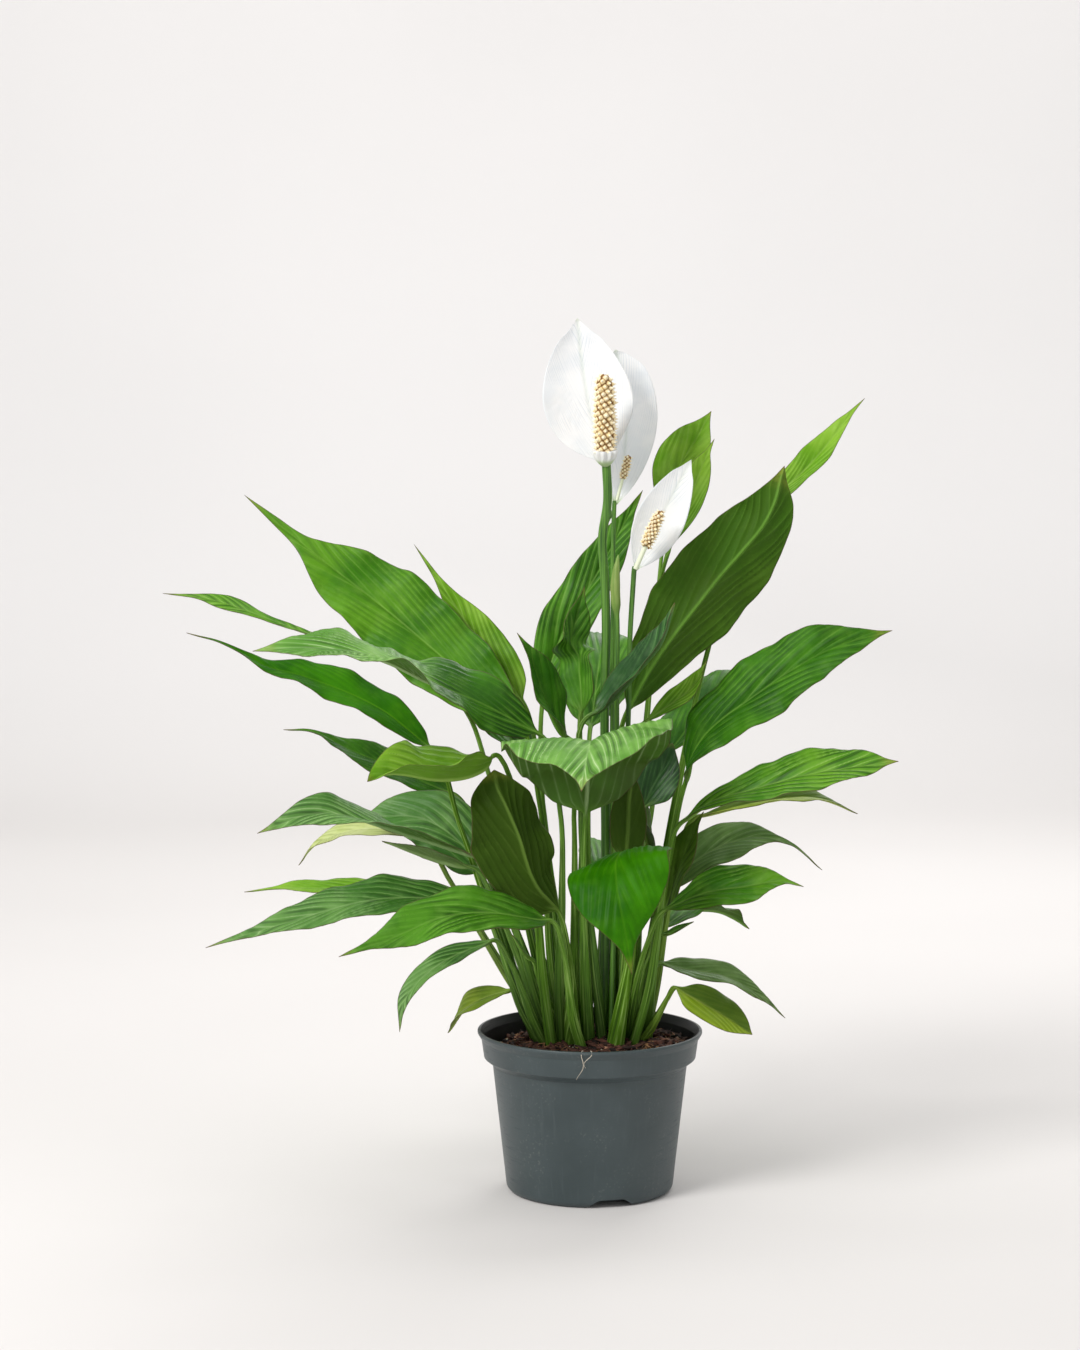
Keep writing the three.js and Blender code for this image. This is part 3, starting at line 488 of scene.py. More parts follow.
def spathe_material():
    g = Graph("spathe_white")
    vein, rib, under, along = g.read("vein", "rib", "under", "along")
    line = g.span(g.off_line(vein), 0.02, 0.4, 1.0, 0.0)
    white = g.over((253, 253, 253), (245, 247, 249), g.noise(45, 3), 0.35, 0.65)
    # painted shade: grey-blue lines along the veins, where the bract is creased
    vein_shade = g.span(g.noise(34, 2), 0.4, 0.6, 0.1, 0.55)
    colour = g.mix(g.times(line, vein_shade), white, (204, 212, 222))
    green = g.times(g.span(rib, 0.6, 2.4, 1.0, 0.0), g.math("MULTIPLY_ADD", under, 0.5, 0.015))
    colour = g.mix(green, colour, (120, 165, 82))
    base = g.span(along, 0.0, 0.07, 0.8, 0.0)
    colour = g.mix(base, colour, (176, 204, 134))
    colour = g.over(colour, (206, 214, 180), along, 0.97, 1.0, 0.0, 0.35)
    g.paint(colour, g.span(g.noise(300, 2), 0.3, 0.7, 0.42, 0.56), g.bump(g.noise(900, 3), 0.00008, 0.5))
    g.let_through(0.32, colour)
    return g.material


def stalk_material(name, green, light):
    g = Graph(name)
    streaks = g.streaks(4, 520, 520, 7)
    colour = g.over(green, light, streaks, 0.32, 0.7)
    colour = g.mix(g.times(g.span(g.noise(60, 3), 0.5, 0.8), 0.4), colour, light)
    flecks = g.noise(900, 2)
    colour = g.over(colour, (190, 206, 150), flecks, 0.66, 0.8, 0.0, 0.3)
    g.paint(colour, g.span(streaks, 0.3, 0.7, 0.36, 0.5), g.bump(streaks, 0.0002, 0.6))
    return g.material


def spadix_material():
    g = Graph("spadix_cream")
    height, shade, stipe = g.read("height", "shade", "stipe")
    cream = g.mix(shade, (252, 238, 202), (240, 216, 160))
    # painted shade: the core and the foot of each floret are brown, in the gaps between the florets
    colour = g.over((146, 104, 48), cream, height, 0.1, 0.5)
    # painted highlight: the knob on each floret is almost white
    colour = g.over(colour, (255, 250, 232), height, 0.8, 1.3, 0.0, 0.75)
    colour = g.mix(stipe, colour, (228, 234, 206))
    g.paint(colour, 0.62, g.bump(g.noise(2600, 3), 0.00012, 0.7))
    return g.material


def bud_material():
    g = Graph("flower_bud")
    along, fold = g.read("along", "fold")
    streaks = g.streaks(4, 600, 600, 12)
    stem = g.over((48, 92, 18), (92, 138, 44), streaks, 0.3, 0.7)
    pale = g.over((140, 160, 84), (112, 140, 58), streaks, 0.35, 0.65)
    colour = g.over(stem, pale, along, 0.86, 0.92)
    colour = g.over(colour, (98, 142, 58), fold, 0.5, 1.0, 0.0, 0.6)
    colour = g.over(colour, (110, 150, 60), along, 0.975, 1.0, 0.0, 0.8)
    g.paint(colour, 0.45, g.bump(streaks, 0.0002, 0.6))
    return g.material


def pot_material():
    g = Graph("pot_plastic", Specular_IOR_Level=0.45)
    cloud = g.noise(14, 4)
    colour = g.over((54, 65, 67), (64, 75, 77), cloud, 0.3, 0.7)
    streaks = g.streaks(3, 260, 260, 8)
    colour = g.over(colour, (78, 88, 90), streaks, 0.55, 0.8, 0.0, 0.3)
    dust = g.times(g.span(g.noise(420, 3), 0.56, 0.72), g.span(g.noise(30, 2), 0.45, 0.7, 0.0, 0.28))
    colour = g.mix(dust, colour, (120, 124, 118))
    # painted shade: the pot's inner faces are darkened almost to black
    inside, = g.read("inside")
    colour = g.mix(g.times(inside, 0.9), colour, (22, 20, 20))
    grain = g.noise(2400, 2)
    scuffs = g.streaks(2, 60, 60, 900)
    rough = g.plus(g.span(cloud, 0.3, 0.7, 0.36, 0.46), g.times(g.span(scuffs, 0.55, 0.7), 0.12))
    g.paint(colour, rough, g.bump(grain, 0.00006, 0.5, g.bump(scuffs, 0.00006, 0.4)))
    return g.material


def mix_material():
    g = Graph("potting_mix", Specular_IOR_Level=0.25)
    lumps = g.noise(260, 5)
    colour = g.over((14, 9, 7), (54, 38, 29), lumps, 0.36, 0.66)
    colour = g.over(colour, (104, 78, 58), g.noise(700, 4), 0.58, 0.74, 0.0, 0.6)
    g.paint(colour, 0.92, g.bump(lumps, 0.0015, 0.9, g.bump(g.noise(1600, 4), 0.0004, 0.9)))
    return g.material


def bit_material(name, dark, light, rough):
    """Bark, fibre and grain: each bit has its own shade, and fine streaks."""
    g = Graph(name, Specular_IOR_Level=0.3)
    shade, = g.read("shade")
    streaks = g.streaks(4, 300, 300, 900)
    colour = g.mix(shade, dark, light)
    colour = g.over(colour, dark, streaks, 0.4, 0.7, 0.0, 0.5)
    g.paint(colour, rough, g.bump(streaks, 0.0004, 0.8))
    return g.material


# ---------------------------------------------------------------- leaves and bracts


STALK_STEP = 8 * MM  # between the rings of a stalk
NECK_LEAD = 14 * MM  # the rings are as close as the blade's from here below the neck
NECK_BLEND = (-5 * MM, 13 * MM)  # where the stalk's tube turns into the blade, from the neck
CROWDING = 1.22  # a power above 1 crowds a ring's points towards the midrib
EDGE = 0.12 * MM  # half of the thickness at a margin


class Blade:
    """A thin blade along a midrib, with or without a stalk below its neck.

    Its rows follow the CAD rings: the middle, the way to each margin, the upper face's normal and the stalk's
    radius. neck is the row where the blade begins.
    """

    def __init__(self, middle, normal, left, right, radius, neck):
        self.middle = middle
        self.normal = unit(normal)
        self.widths = np.stack([np.linalg.norm(left, axis=1), np.linalg.norm(right, axis=1)], 1)
        self.sides = np.concatenate([unit(left), unit(right)], 1)
        self.radius = radius
        self.knots = lengths(middle)
        self.neck = self.knots[neck]
        self.length = self.knots[-1] - self.neck

    def stations(self, step):
        """Where the rings stand: far apart on the stalk, and a step apart on the blade."""
        near = max(self.neck - NECK_LEAD, 0)
        count = max(2, round(near / STALK_STEP)) if near > 0 else 0
        lower = np.linspace(0, near, count, endpoint=False)
        end = self.knots[-1] - 0.5 * MM
        return np.concatenate([lower, np.linspace(near, end, round((end - near) / step))])

    def build(self, name, material, style, seed):
        rng = random.Random(seed)
        phases = [rng.uniform(0, 2 * math.pi) for _ in range(8)]
        at = self.stations(style["step"])
        middle = smooth(self.knots, self.middle, at)
        heading = unit(np.gradient(middle, at, axis=0))
        normal = smooth(self.knots, self.normal, at)
        normal = unit(normal - (normal * heading).sum(1, keepdims=True) * heading)
        sides = smooth(self.knots, self.sides, at)[:, None]
        widths = smooth(self.knots, self.widths, at, steady=True)
        tube = smooth(self.knots, self.radius, at, steady=True)
        u = (at - self.neck)[:, None]
        share = u / self.length
        blade = ramp(u, *NECK_BLEND) if self.neck > 0 else np.ones_like(u)

        greatest = widths.max()
        half_points = int(np.clip(greatest / style["across"], 11, 30))
        k = np.arange(-half_points, half_points + 1) / half_points
        v = (np.sign(k) * np.abs(k) ** CROWDING)[None, :]
        reach = np.abs(v)
        side = np.where(v[..., None] < 0, unit(sides[..., :3]), unit(sides[..., 3:]))
        width = np.where(v < 0, widths[:, :1], widths[:, 1:])
        # a slow swell and pinch of the outline
        slow = u / style["wave"]
        swell = np.where(v < 0, np.sin(2.3 * slow + phases[0]), np.sin(2.7 * slow + phases[1]))
        width = width * (1 + style["lobes"] * swell * ramp(share, 0.05, 0.3) * (1 - ramp(share, 0.8, 1.0)))
        # a blade may narrow to a cusp, have a fuller belly, or be narrow up to a pinch
        cusp_start, cusp = style["cusp"]
        width = width * (1 - cusp * ramp(share, cusp_start, 0.985))
        width = width * (1 + style["belly"] * np.exp(-(((share - 0.62) / 0.13) ** 2)))
        pinch_end, pinch = style["pinch"]
        width = width * (pinch + (1 - pinch) * ramp(share, pinch_end - 0.12, pinch_end + 0.12))
        y = width * reach

        # veins leave the midrib at a slant and bend towards the tip
        slant = style["slant"] * y + style["bend"] * y * y / greatest
        phase = (u - slant) / style["spacing"]
        phase = phase + np.where(v < 0, 0.0, 0.42) + 0.3 * np.sin(phase * 0.61 + phases[2])
        phase = phase + 0.22 * np.sin(phase * 1.37 + 2.6 * v + phases[6])
        pillow = np.abs(np.sin(math.pi * phase)) ** 0.75
        fade = ramp(y, 0, 0.16 * greatest) * (1 - 0.75 * ramp(reach, 0.8, 1.0))
        fade = fade * ramp(share, 0.0, 0.1) * (1 - 0.7 * ramp(share, 0.82, 1.0))
        quilt = style["quilt"] * fade * (pillow - 0.55)

        envelope = ramp(share, 0.02, 0.25) * (1 - 0.6 * ramp(share, 0.85, 1.0))
        cycles = 2 * math.pi * slow
        ripple = np.where(v < 0, np.sin(cycles + phases[3]), np.sin(cycles / 0.86 + phases[4]))
        fine_ripple = np.sin(cycles / 0.37 + phases[5])
        wave = style["ripple"] * width * reach**2.2 * envelope * (ripple + 0.22 * fine_ripple)
        bulge = style["bulge"] * width * 4 * reach * (1 - reach)
        groove = style["groove"] * np.exp(-((y / (1.1 * MM)) ** 2)) * (1 - 0.7 * share)
        sheet = quilt + wave + bulge

        thickness = style["thickness"] * (1 - 0.45 * reach)
        keel_radius = np.maximum(tube, 0) * (1 - 0.72 * ramp(share, 0, 0.9))
        keel = style["keel"] * keel_radius * np.exp(-((y / (0.85 * keel_radius + 0.15 * MM)) ** 2))
        vein_ridge = 0.12 * MM * fade * (1 - pillow) ** 2

        angle = v * math.pi / 2
        channel = 0.3 * tube * np.exp(-((v / 0.3) ** 2)) * style["channel"]
        x = (1 - blade) * tube * np.sin(np.abs(angle)) + blade * y
        face = sheet - groove + thickness / 2
        back = sheet - thickness / 2 - keel - vein_ridge
        top = (1 - blade) * (tube * np.cos(angle) - channel + EDGE) + blade * face
        low = (1 - blade) * (-tube * np.cos(angle) - EDGE) + blade * back

        def surface(height):
            return middle[:, None] + side * x[..., None] + normal[:, None] * height[..., None]

        rings = np.concatenate([surface(top), surface(low)[:, ::-1]], 1)

        def both(upper, lower=None):
            lower = upper if lower is None else lower
            grid = (len(at), v.shape[1])
            faces = np.broadcast_to(upper, grid), np.broadcast_to(lower, grid)[:, ::-1]
            return np.concatenate(faces, 1)

        place = np.where(u < 0, u / max(self.neck, MM), share)
        values = {
            "vein": both(phase),
            "rib": both(y / MM),
            "edge": both((width - y) / MM),
            "under": both(np.zeros_like(y), np.ones_like(y)),
            "along": both(place),
            "blade": both(blade),
            "across": both(v),
        }
        return loft(name, rings, middle[0], self.middle[-1], material, values)


def margins_first(rings, blade):
    """The rings, numbered so that 5 and 0 are one margin, 1 the crest, 2 and 3 the other and 4 the keel."""
    def gap(turn):
        near = np.roll(blade, -turn, axis=1)
        return sum(np.linalg.norm(near[:, a] - near[:, b], axis=1).sum() for a, b in ((5, 0), (2, 3)))

    return np.roll(rings, -min(range(3), key=gap), axis=1)


def crest_line(rings):
    """The upper face's normal, and the middle line just below the crest."""
    normal = unit(rings[:, 1] - rings[:, 4])
    return normal, rings[:, 1] - CREST * normal


def margins(rings, middle):
    return rings[:, [5, 0]].mean(1) - middle, rings[:, [2, 3]].mean(1) - middle


def ends(rows, tip=1.0):
    """The rows with their first row again before them, and their last again, times tip, after them."""
    return np.concatenate([rows[:1], rows, rows[-1:] * tip])


def leaf_rows(node):
    """A leaf's blade and stalk, from its CAD rings."""
    rings, foot, tip = cad_rings(node, flat_foot=True)
    rings = margins_first(rings, rings[STALK_RINGS:])
    blade = rings[STALK_RINGS:]
    sag = ((blade[:, [0, 2, 3, 5]].mean(1) - blade[:, [1, 4]].mean(1)) * (blade[:, 1] - blade[:, 4])).sum()
    if (sag < 0) != (node in DOMED):
        rings = np.roll(rings, 3, axis=1)
    normal, middle = crest_line(rings)
    middle[:STALK_RINGS] = rings[:STALK_RINGS].mean(1)
    left, right = margins(rings, middle)
    radius = np.linalg.norm(rings[:, 1] - rings[:, 4], axis=1) / 2
    side = unit(right - left)[:STALK_RINGS]
    left[:STALK_RINGS] = -side * radius[:STALK_RINGS, None]
    right[:STALK_RINGS] = side * radius[:STALK_RINGS, None]
    radius[STALK_RINGS:] = radius[STALK_RINGS - 1]
    # the foot goes on into the mix, and the tip closes the blade
    buried = middle[:1] + unit(middle[:1] - middle[1:2]) * BURIED
    return Blade(
        middle=np.concatenate([buried, middle, [tip]]), normal=ends(normal),
        left=ends(left, 0.01), right=ends(right, 0.01), radius=ends(radius, 0.3), neck=STALK_RINGS,
    )


DOMED = {"leaf_front_drooping"}  # blades whose halves hang from the midrib instead of rising from it

LEAF_TONES = {
    "deep": ["right_crown", "right_large", "middle_dark", "left_dark", "rear_left", "rear_right"],
    "bright": ["left_bright", "front_drooping"],
    "clear": ["left_crown"],
    "lime": ["right_striped", "right_wavy", "left_far_tip"],
    "sunny": [
        "left_crown_rear", "left_folded", "left_low_rear", "right_top_thin", "right_top_folded",
        "right_top_small", "right_sprig",
    ],
    "pale_sheen": ["left_arching", "front_broad"],
    "blue": ["middle_blue", "right_grey"],
    "grey": ["right_arching", "right_low", "left_under"],
    "sheen": ["left_low", "left_bent", "left_drooping", "left_inner"],
    "olive": ["front_upright", "right_behind", "right_inner", "middle_hanging"],
    "yellow": ["right_yellow", "right_hidden"],
    "lemon": ["left_small"],
    "pale": ["left_pale"],
}
PALE_TONES = {"yellow", "lemon", "pale"}
tone_of = {"leaf_" + name: tone for tone, names in LEAF_TONES.items() for name in names}
leaf_materials = {tone: leaf_material(tone) for tone in TONES}


# blades with a shape of their own: where a cusp starts and how much it narrows, how much fuller the belly is,
# how far up the blade is narrow and how narrow, and how the veins lie
OUTLINES = {
    "leaf_left_far_tip": {"pinch": (0.74, 0.3)},
    "leaf_left_crown": {"slant": 6.0, "spacing": 42 * MM},
    "leaf_left_arching": {"slant": 5.5, "spacing": 24 * MM},
    "leaf_right_large": {"slant": 4.6, "spacing": 30 * MM},
    "leaf_front_drooping": {"cusp": (0.68, 0.5), "belly": 0.05},
    "leaf_front_broad": {"cusp": (0.74, 0.5)},
    "leaf_right_arching": {"cusp": (0.6, 0.3)},
}


def leaf_style(node, width, stripes):
    """How a leaf's blade is finished, by its half width in metres and how strongly its veins stand out."""
    style = {
        "step": 1.7 * MM, "across": 1.35 * MM,
        "spacing": min(max(0.8 * width + 4.5 * MM, 9 * MM), 30 * MM),
        "slant": 3.4, "bend": 1.1,
        "quilt": min((0.02 + 0.045 * stripes) * width, 1.5 * MM),
        "cusp": (0.84, 0.0), "belly": 0.0, "pinch": (0.0, 1.0),
        "wave": 50 * MM, "ripple": 0.085, "lobes": 0.035, "bulge": 0.06,
        "groove": 0.4 * MM, "thickness": 0.55 * MM, "keel": 1.15, "channel": 1.0,
    }
    style.update(OUTLINES.get(node, {}))
    return style


feet = []
for order, node in enumerate(sorted(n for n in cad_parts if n.startswith("leaf_"))):
    rows = leaf_rows(node)
    feet.append(rows.middle[1])
    tone = tone_of.get(node, "mid")
    style = leaf_style(node, rows.widths.max(), TONES[tone][-1])
    leaf = rows.build(node + "_fine", leaf_materials[tone], style, 100 + order)
    piece(leaf, "leaf_pale" if tone in PALE_TONES else "leaf_green", node)


# ---------------------------------------------------------------- flowers

BARE = {"flower_main": 0.06, "flower_rear": 0.5, "flower_low": 0.4}  # share of the spadix below its florets
SPATHE_STYLE = {
    "step": 1.2 * MM, "across": 1.1 * MM, "spacing": 7 * MM, "slant": 2.4, "bend": 1.6, "quilt": 0.4 * MM,
    "cusp": (0.84, 0.42), "belly": 0.0, "pinch": (0.0, 1.0),
    "wave": 60 * MM, "ripple": 0.03, "lobes": 0.012, "bulge": -0.05, "groove": 0.25 * MM,
    "thickness": 0.6 * MM, "keel": 1.0, "channel": 0.0,
}


def spathe_rows(node):
    """A bract's blade, from its CAD rings."""
    rings, foot, tip = cad_rings(node)
    rings = margins_first(rings, rings)
    if (rings[:, 1] - rings[:, 4])[:, 1].sum() > 0:
        rings = np.roll(rings, 3, axis=1)
    normal, middle = crest_line(rings)
    left, right = margins(rings, middle)
    claw = 1.3 * MM
    return Blade(
        middle=np.concatenate([[foot], middle, [tip]]), normal=ends(normal),
        left=np.concatenate([unit(left[:1]) * claw, left, left[-1:] * 0.01]),
        right=np.concatenate([unit(right[:1]) * claw, right, right[-1:] * 0.01]),
        radius=np.linspace(0.9 * MM, 0.4 * MM, len(middle) + 2), neck=0,
    )


def tube(name, material, node, shape, sides=28, step=2.5 * MM, onward=0):
    """A round bar along a CAD bar's middle, with shape(share, angle, centre) added to its radius.

    onward is how far it goes on past its CAD bar's top, into the flower.
    """
    rings, foot, tip = cad_rings(node)
    middle = rings.mean(1)
    radius = ring_radii(rings)
    middle = np.concatenate([middle[:1] + unit(middle[:1] - middle[1:2]) * BURIED, middle])
    radius = np.concatenate([radius[:1], radius])
    if onward:
        middle = np.concatenate([middle, middle[-1:] + unit(middle[-1:] - middle[-2:-1]) * onward])
        radius = np.concatenate([radius, radius[-1:] * 0.8])
    if not onward and np.linalg.norm(tip - middle[-1]) > 0.1 * MM:
        middle = np.concatenate([middle, [tip]])
        radius = np.concatenate([radius, [radius[-1] * 0.2]])
    knots = lengths(middle)
    at = np.linspace(0, knots[-1], round(knots[-1] / step) + 1)
    centre = smooth(knots, middle, at)
    thick = smooth(knots, radius, at, steady=True)
    heading = unit(np.gradient(centre, at, axis=0))
    side, front = across_axis(heading)
    angle = turns(-sides)
    share = np.broadcast_to((at / knots[-1])[:, None], (len(at), sides))
    extra = shape(share, np.broadcast_to(angle, share.shape), centre)
    reach = (thick + extra)[..., None]
    ring = centre[:, None] + reach * spokes(side[:, None], front[:, None], angle)
    values = {"along": share, "fold": extra / MM}
    return loft(name, ring, centre[0], centre[-1], material, values)


def ribbed(share, angle, centre):
    """Faint lengthwise ribs."""
    return 0.09 * MM * np.cos(7 * angle + 5 * share) + 0.05 * MM * np.cos(12 * angle + 2)


NUB_HEIGHT = 523 * MM
NUB_ANGLE = 0.35


def knee(share, angle, centre):
    """The main stalk's ribs, with a small nub beside its knee."""
    high = centre[:, 2:3]
    towards = np.cos(angle - NUB_ANGLE)
    nub = np.exp(-(((high - NUB_HEIGHT) / (2.6 * MM)) ** 2)) * np.clip(towards, 0, 1) ** 6
    return ribbed(share, angle, centre) + 2.4 * MM * nub


def rolled_bud(share, angle, centre):
    """The spathe's overlapping edge winds round the closed bud."""
    turn = angle + 16 * share
    lap = ((turn / (2 * math.pi)) % 1.0) ** 3
    return 0.9 * MM * lap * ramp(share, 0.865, 0.91) * (1 - 0.7 * ramp(share, 0.97, 1.0))


def dome():
    """A floret of the spadix, on a unit disc: a lobed cushion with a small knob, as points and faces."""
    points, faces = ball(3)
    turn = np.arctan2(points[:, 1], points[:, 0])
    flat = np.hypot(points[:, 0], points[:, 1])
    high = points[:, 2]
    lobes = 1 + 0.1 * np.cos(4 * turn) * flat
    knob = 1.25 * np.exp(-((flat / 0.4) ** 2)) * (high > 0)
    dip = 0.15 * np.exp(-(((flat - 0.62) / 0.14) ** 2)) * (high > 0)
    shaped = np.stack([points[:, 0] * lobes, points[:, 1] * lobes, 0.55 * high + knob - dip], 1)
    return shaped, faces


FLORET, FLORET_FACES = dome()
FLORET_SPACING = 1.78  # in radii of a floret
CORE_SIDES = 24
SPADIX_END = 0.985  # how far up the spadix its core and its florets go, as a share of its length


def spadix(node, material, bare, seed):
    """A core set all round with florets in crossing spirals."""
    rng = random.Random(seed)
    rings, foot, tip = cad_rings(node)
    axis = tip - foot
    length = np.linalg.norm(axis)
    axis = axis / length
    side, front = across_axis(axis)
    full = ring_radii(rings).max()
    size = 0.2 * full + 0.65 * MM

    def core(share):
        t = np.clip((share - bare) / (1 - bare), 0, 1)
        bulk = full * (0.36 + 0.68 * np.sqrt(np.clip(np.sin(math.pi * (0.16 + 0.78 * t)), 0, 1))) - size * 0.9
        rounding = np.sqrt(1 - np.clip((t - 0.9) / 0.1, 0, 0.995) ** 2)
        return np.where(share < bare, full * 0.4, bulk * rounding)

    share = np.linspace(0, SPADIX_END, 60)
    flat = spokes(side, front, turns(-CORE_SIDES))
    ring = foot + axis * (share * length)[:, None, None] + core(share)[:, None, None] * flat
    stipe = np.repeat(1 - ramp(share, bare - 0.02, bare + 0.02), CORE_SIDES)
    values = {"height": np.zeros_like(stipe), "shade": np.full_like(stipe, 0.6), "stipe": stipe}
    stem = loft(node + "_core", ring, foot, foot + axis * length, material, values)

    florets, shades = [], []
    golden = math.pi * (3 - math.sqrt(5))
    place = bare + 0.01
    while place < SPADIX_END:
        radius = float(core(np.array(place)))
        turn = len(florets) * golden
        away = side * math.cos(turn) + front * math.sin(turn)
        slope = float(core(np.array(place + 0.01)) - core(np.array(place - 0.01))) / (0.02 * length)
        out = unit(away - slope * axis)
        along = unit(axis - (axis @ out) * out)
        over = np.cross(out, along)
        grow = size * rng.uniform(0.86, 1.14)
        centre = foot + axis * place * length + away * radius + out * size * rng.uniform(-0.16, 0.36)
        spin = rng.uniform(-0.3, 0.3)
        a = FLORET[:, 0] * math.cos(spin) - FLORET[:, 1] * math.sin(spin)
        b = FLORET[:, 0] * math.sin(spin) + FLORET[:, 1] * math.cos(spin)
        florets.append(centre + grow * (a[:, None] * over + b[:, None] * along + FLORET[:, 2:] * out))
        shades.append([rng.random()])
        area = (FLORET_SPACING * size) ** 2
        place += area / (2 * math.pi * max(radius + size * 0.4, size) * length * math.hypot(1, slope))
    values = {"height": np.clip(FLORET[:, 2], 0, 1.6), "shade": shades, "stipe": 0}
    return stem, copies(node + "_florets", florets, FLORET_FACES, material, values)


# the collar's profile, up along the spadix from its foot and out from its middle
COLLAR = [(-3.2, 2.2), (-1.2, 4.8), (1.6, 6.8), (5.0, 8.0), (8.6, 8.7), (9.8, 8.4), (9.4, 7.5), (8.0, 6.2)]
PLEATS = 11
COLLAR_SIDES = 108


def collar(node, material):
    """The bract's pleated foot, wrapped round the spadix where it leaves the stalk."""
    rings, foot, tip = cad_rings(node)
    axis = unit(tip - foot)
    side, front = across_axis(axis)
    knots = lengths(COLLAR)
    height, reach = smooth(knots, COLLAR, np.linspace(0, knots[-1], 30)).T * MM
    angle = turns(-COLLAR_SIDES)
    fold = np.cos(PLEATS * angle + 0.5 * np.sin(2 * angle))
    depth = 0.15 * ramp(height, -1 * MM, 5 * MM)
    pleat = (depth[:, None] * fold)[..., None]
    lift = height[:, None, None] + 0.8 * MM * pleat
    ring = foot + axis * lift + reach[:, None, None] * (1 + pleat) * spokes(side, front, angle)
    grid = ring.shape[:2]
    values = {
        "vein": np.broadcast_to(PLEATS * angle / (2 * math.pi) + 0.5, grid),
        "rib": np.full(grid, 5.0),
        "under": np.zeros(grid),
        "along": np.broadcast_to(ramp(height, -2 * MM, 7 * MM)[:, None] * 0.1, grid),
    }
    return loft(node + "_collar", ring, foot + axis * height[0], foot + axis * height[-1], material, values)


white = spathe_material()
cream = spadix_material()
stem_green = stalk_material("flower_stalk", (40, 84, 14), (92, 140, 44))
for order, (flower, bare) in enumerate(BARE.items()):
    bract = spathe_rows(flower + "_spathe").build(flower + "_spathe_fine", white, SPATHE_STYLE, 300 + order)
    piece(bract, "spathe_white", flower + "_spathe")
    shape = knee if flower == "flower_main" else ribbed
    stalk = tube(flower + "_stalk_fine", stem_green, flower + "_stalk", shape=shape, onward=4 * MM)
    piece(stalk, "flower_stalk", flower + "_stalk")
    stem, florets = spadix(flower + "_spadix", cream, bare, 320 + order)
    piece(stem, "spadix_cream", flower + "_spadix")
    piece(florets, "spadix_cream")
piece(collar("flower_main_spadix", white), "spathe_white")
bud = tube("flower_bud_fine", bud_material(), "flower_bud", sides=40, step=1.2 * MM, shape=rolled_bud)
piece(bud, "flower_bud", "flower_bud")


# ---------------------------------------------------------------- pot

POT_LOW, POT_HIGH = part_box("pot")
RIM_RADIUS = POT_HIGH.x
POT_HEIGHT = POT_HIGH.z
POT_WALL = 1.6 * MM
INSIDE_DEPTH = 1.35 * MM  # what lies deeper under the outer face is the inner face
POT_FLOOR = 2.2 * MM
POT_SIDES = 192
FOOT_RADIUS = 65 * MM
WALL_TOP_RADIUS = 75.4 * MM
BAND_FOOT_RADIUS = 82.3 * MM
BAND_FOOT = POT_HEIGHT - 21 * MM
BAND_STEP = 5 * MM
LIP_FOOT_RADIUS = 84 * MM
LIP_HEIGHT = 7 * MM
ARCHES = [math.radians(-76 + 120 * k) for k in range(3)]
ARCH_WIDTH, ARCH_HEIGHT, ARCH_START = 42 * MM, 6.5 * MM, 44 * MM
HOLE_RADIUS = 4.5 * MM
HOLE_CIRCLES = [(50 * MM, 0), (34 * MM, math.pi / 3)]  # their radii, and their turns from the arches
ARC_STEPS = 8


def rounded(corners):
    """A profile through [radius, height, rounding] corners, each corner with an arc of that rounding."""
    points = []
    for k, (r, z, rounding) in enumerate(corners):
        here = Vector((r, z))
        if rounding == 0:
            points.append(here)
            continue
        before = (Vector(corners[k - 1][:2]) - here).normalized()
        after = (Vector(corners[k + 1][:2]) - here).normalized()
        half = before.angle(after) / 2
        reach = rounding / math.tan(half)
        centre = here + (before + after).normalized() * (rounding / math.sin(half))
        first, last = here + before * reach - centre, here + after * reach - centre
        start = math.atan2(first.y, first.x)
        sweep = (math.atan2(last.y, last.x) - start + math.pi) % (2 * math.pi) - math.pi
        for a in np.linspace(start, start + sweep, ARC_STEPS):
            points.append(centre + rounding * Vector((math.cos(a), math.sin(a))))
    return points


def turned(name, corners):
    """A solid of revolution, from a profile that starts and ends on the axis and runs up its outside."""
    profile = rounded(corners)
    inner = profile[1:-1]
    rings = np.array([level_ring(p.x, p.y, turns(POT_SIDES)) for p in inner])
    foot, top = (0, 0, profile[0].y), (0, 0, profile[-1].y)
    return loft(name, rings, foot, top, pot_plastic)


def arch(angle, grow):
    """A drainage arch's hollow, grown on every side."""
    half, high = ARCH_WIDTH / 2 + grow, ARCH_HEIGHT + 1.3 * grow
    across = np.linspace(-half, half, 25)
    roof = high * ramp(half - np.abs(across), 0, 0.62 * half)
    outline = [(-half - 2 * MM, -5 * MM), *zip(across, roof), (half + 2 * MM, -5 * MM)]
    rings = np.array([[(r, x, z) for x, z in outline[::-1]] for r in (ARCH_START - grow, 2 * FOOT_RADIUS)])
    rings = rings @ turn_matrix(angle, 0, 0).T
    return loft("arch", rings, rings[0].mean(0), rings[1].mean(0), pot_plastic)


def drill(radius, angle):
    x, y = radius * math.cos(angle), radius * math.sin(angle)
    rings = np.array([level_ring(HOLE_RADIUS, z, turns(32), x, y) for z in (-20 * MM, 20 * MM)])
    return loft("drill", rings, rings[0].mean(0), rings[1].mean(0), pot_plastic)


def cut(body, *tools):
    """Takes the tools away from the body, and deletes them."""
    for tool in tools:
        modifier = body.modifiers.new("cut", "BOOLEAN")
        modifier.solver = "MANIFOLD"
        modifier.object = tool
    shape = bpy.data.meshes.new_from_object(body.evaluated_get(bpy.context.evaluated_depsgraph_get()))
    body.modifiers.clear()
    body.data = shape
    for tool in tools:
        bpy.data.objects.remove(tool)
    return body


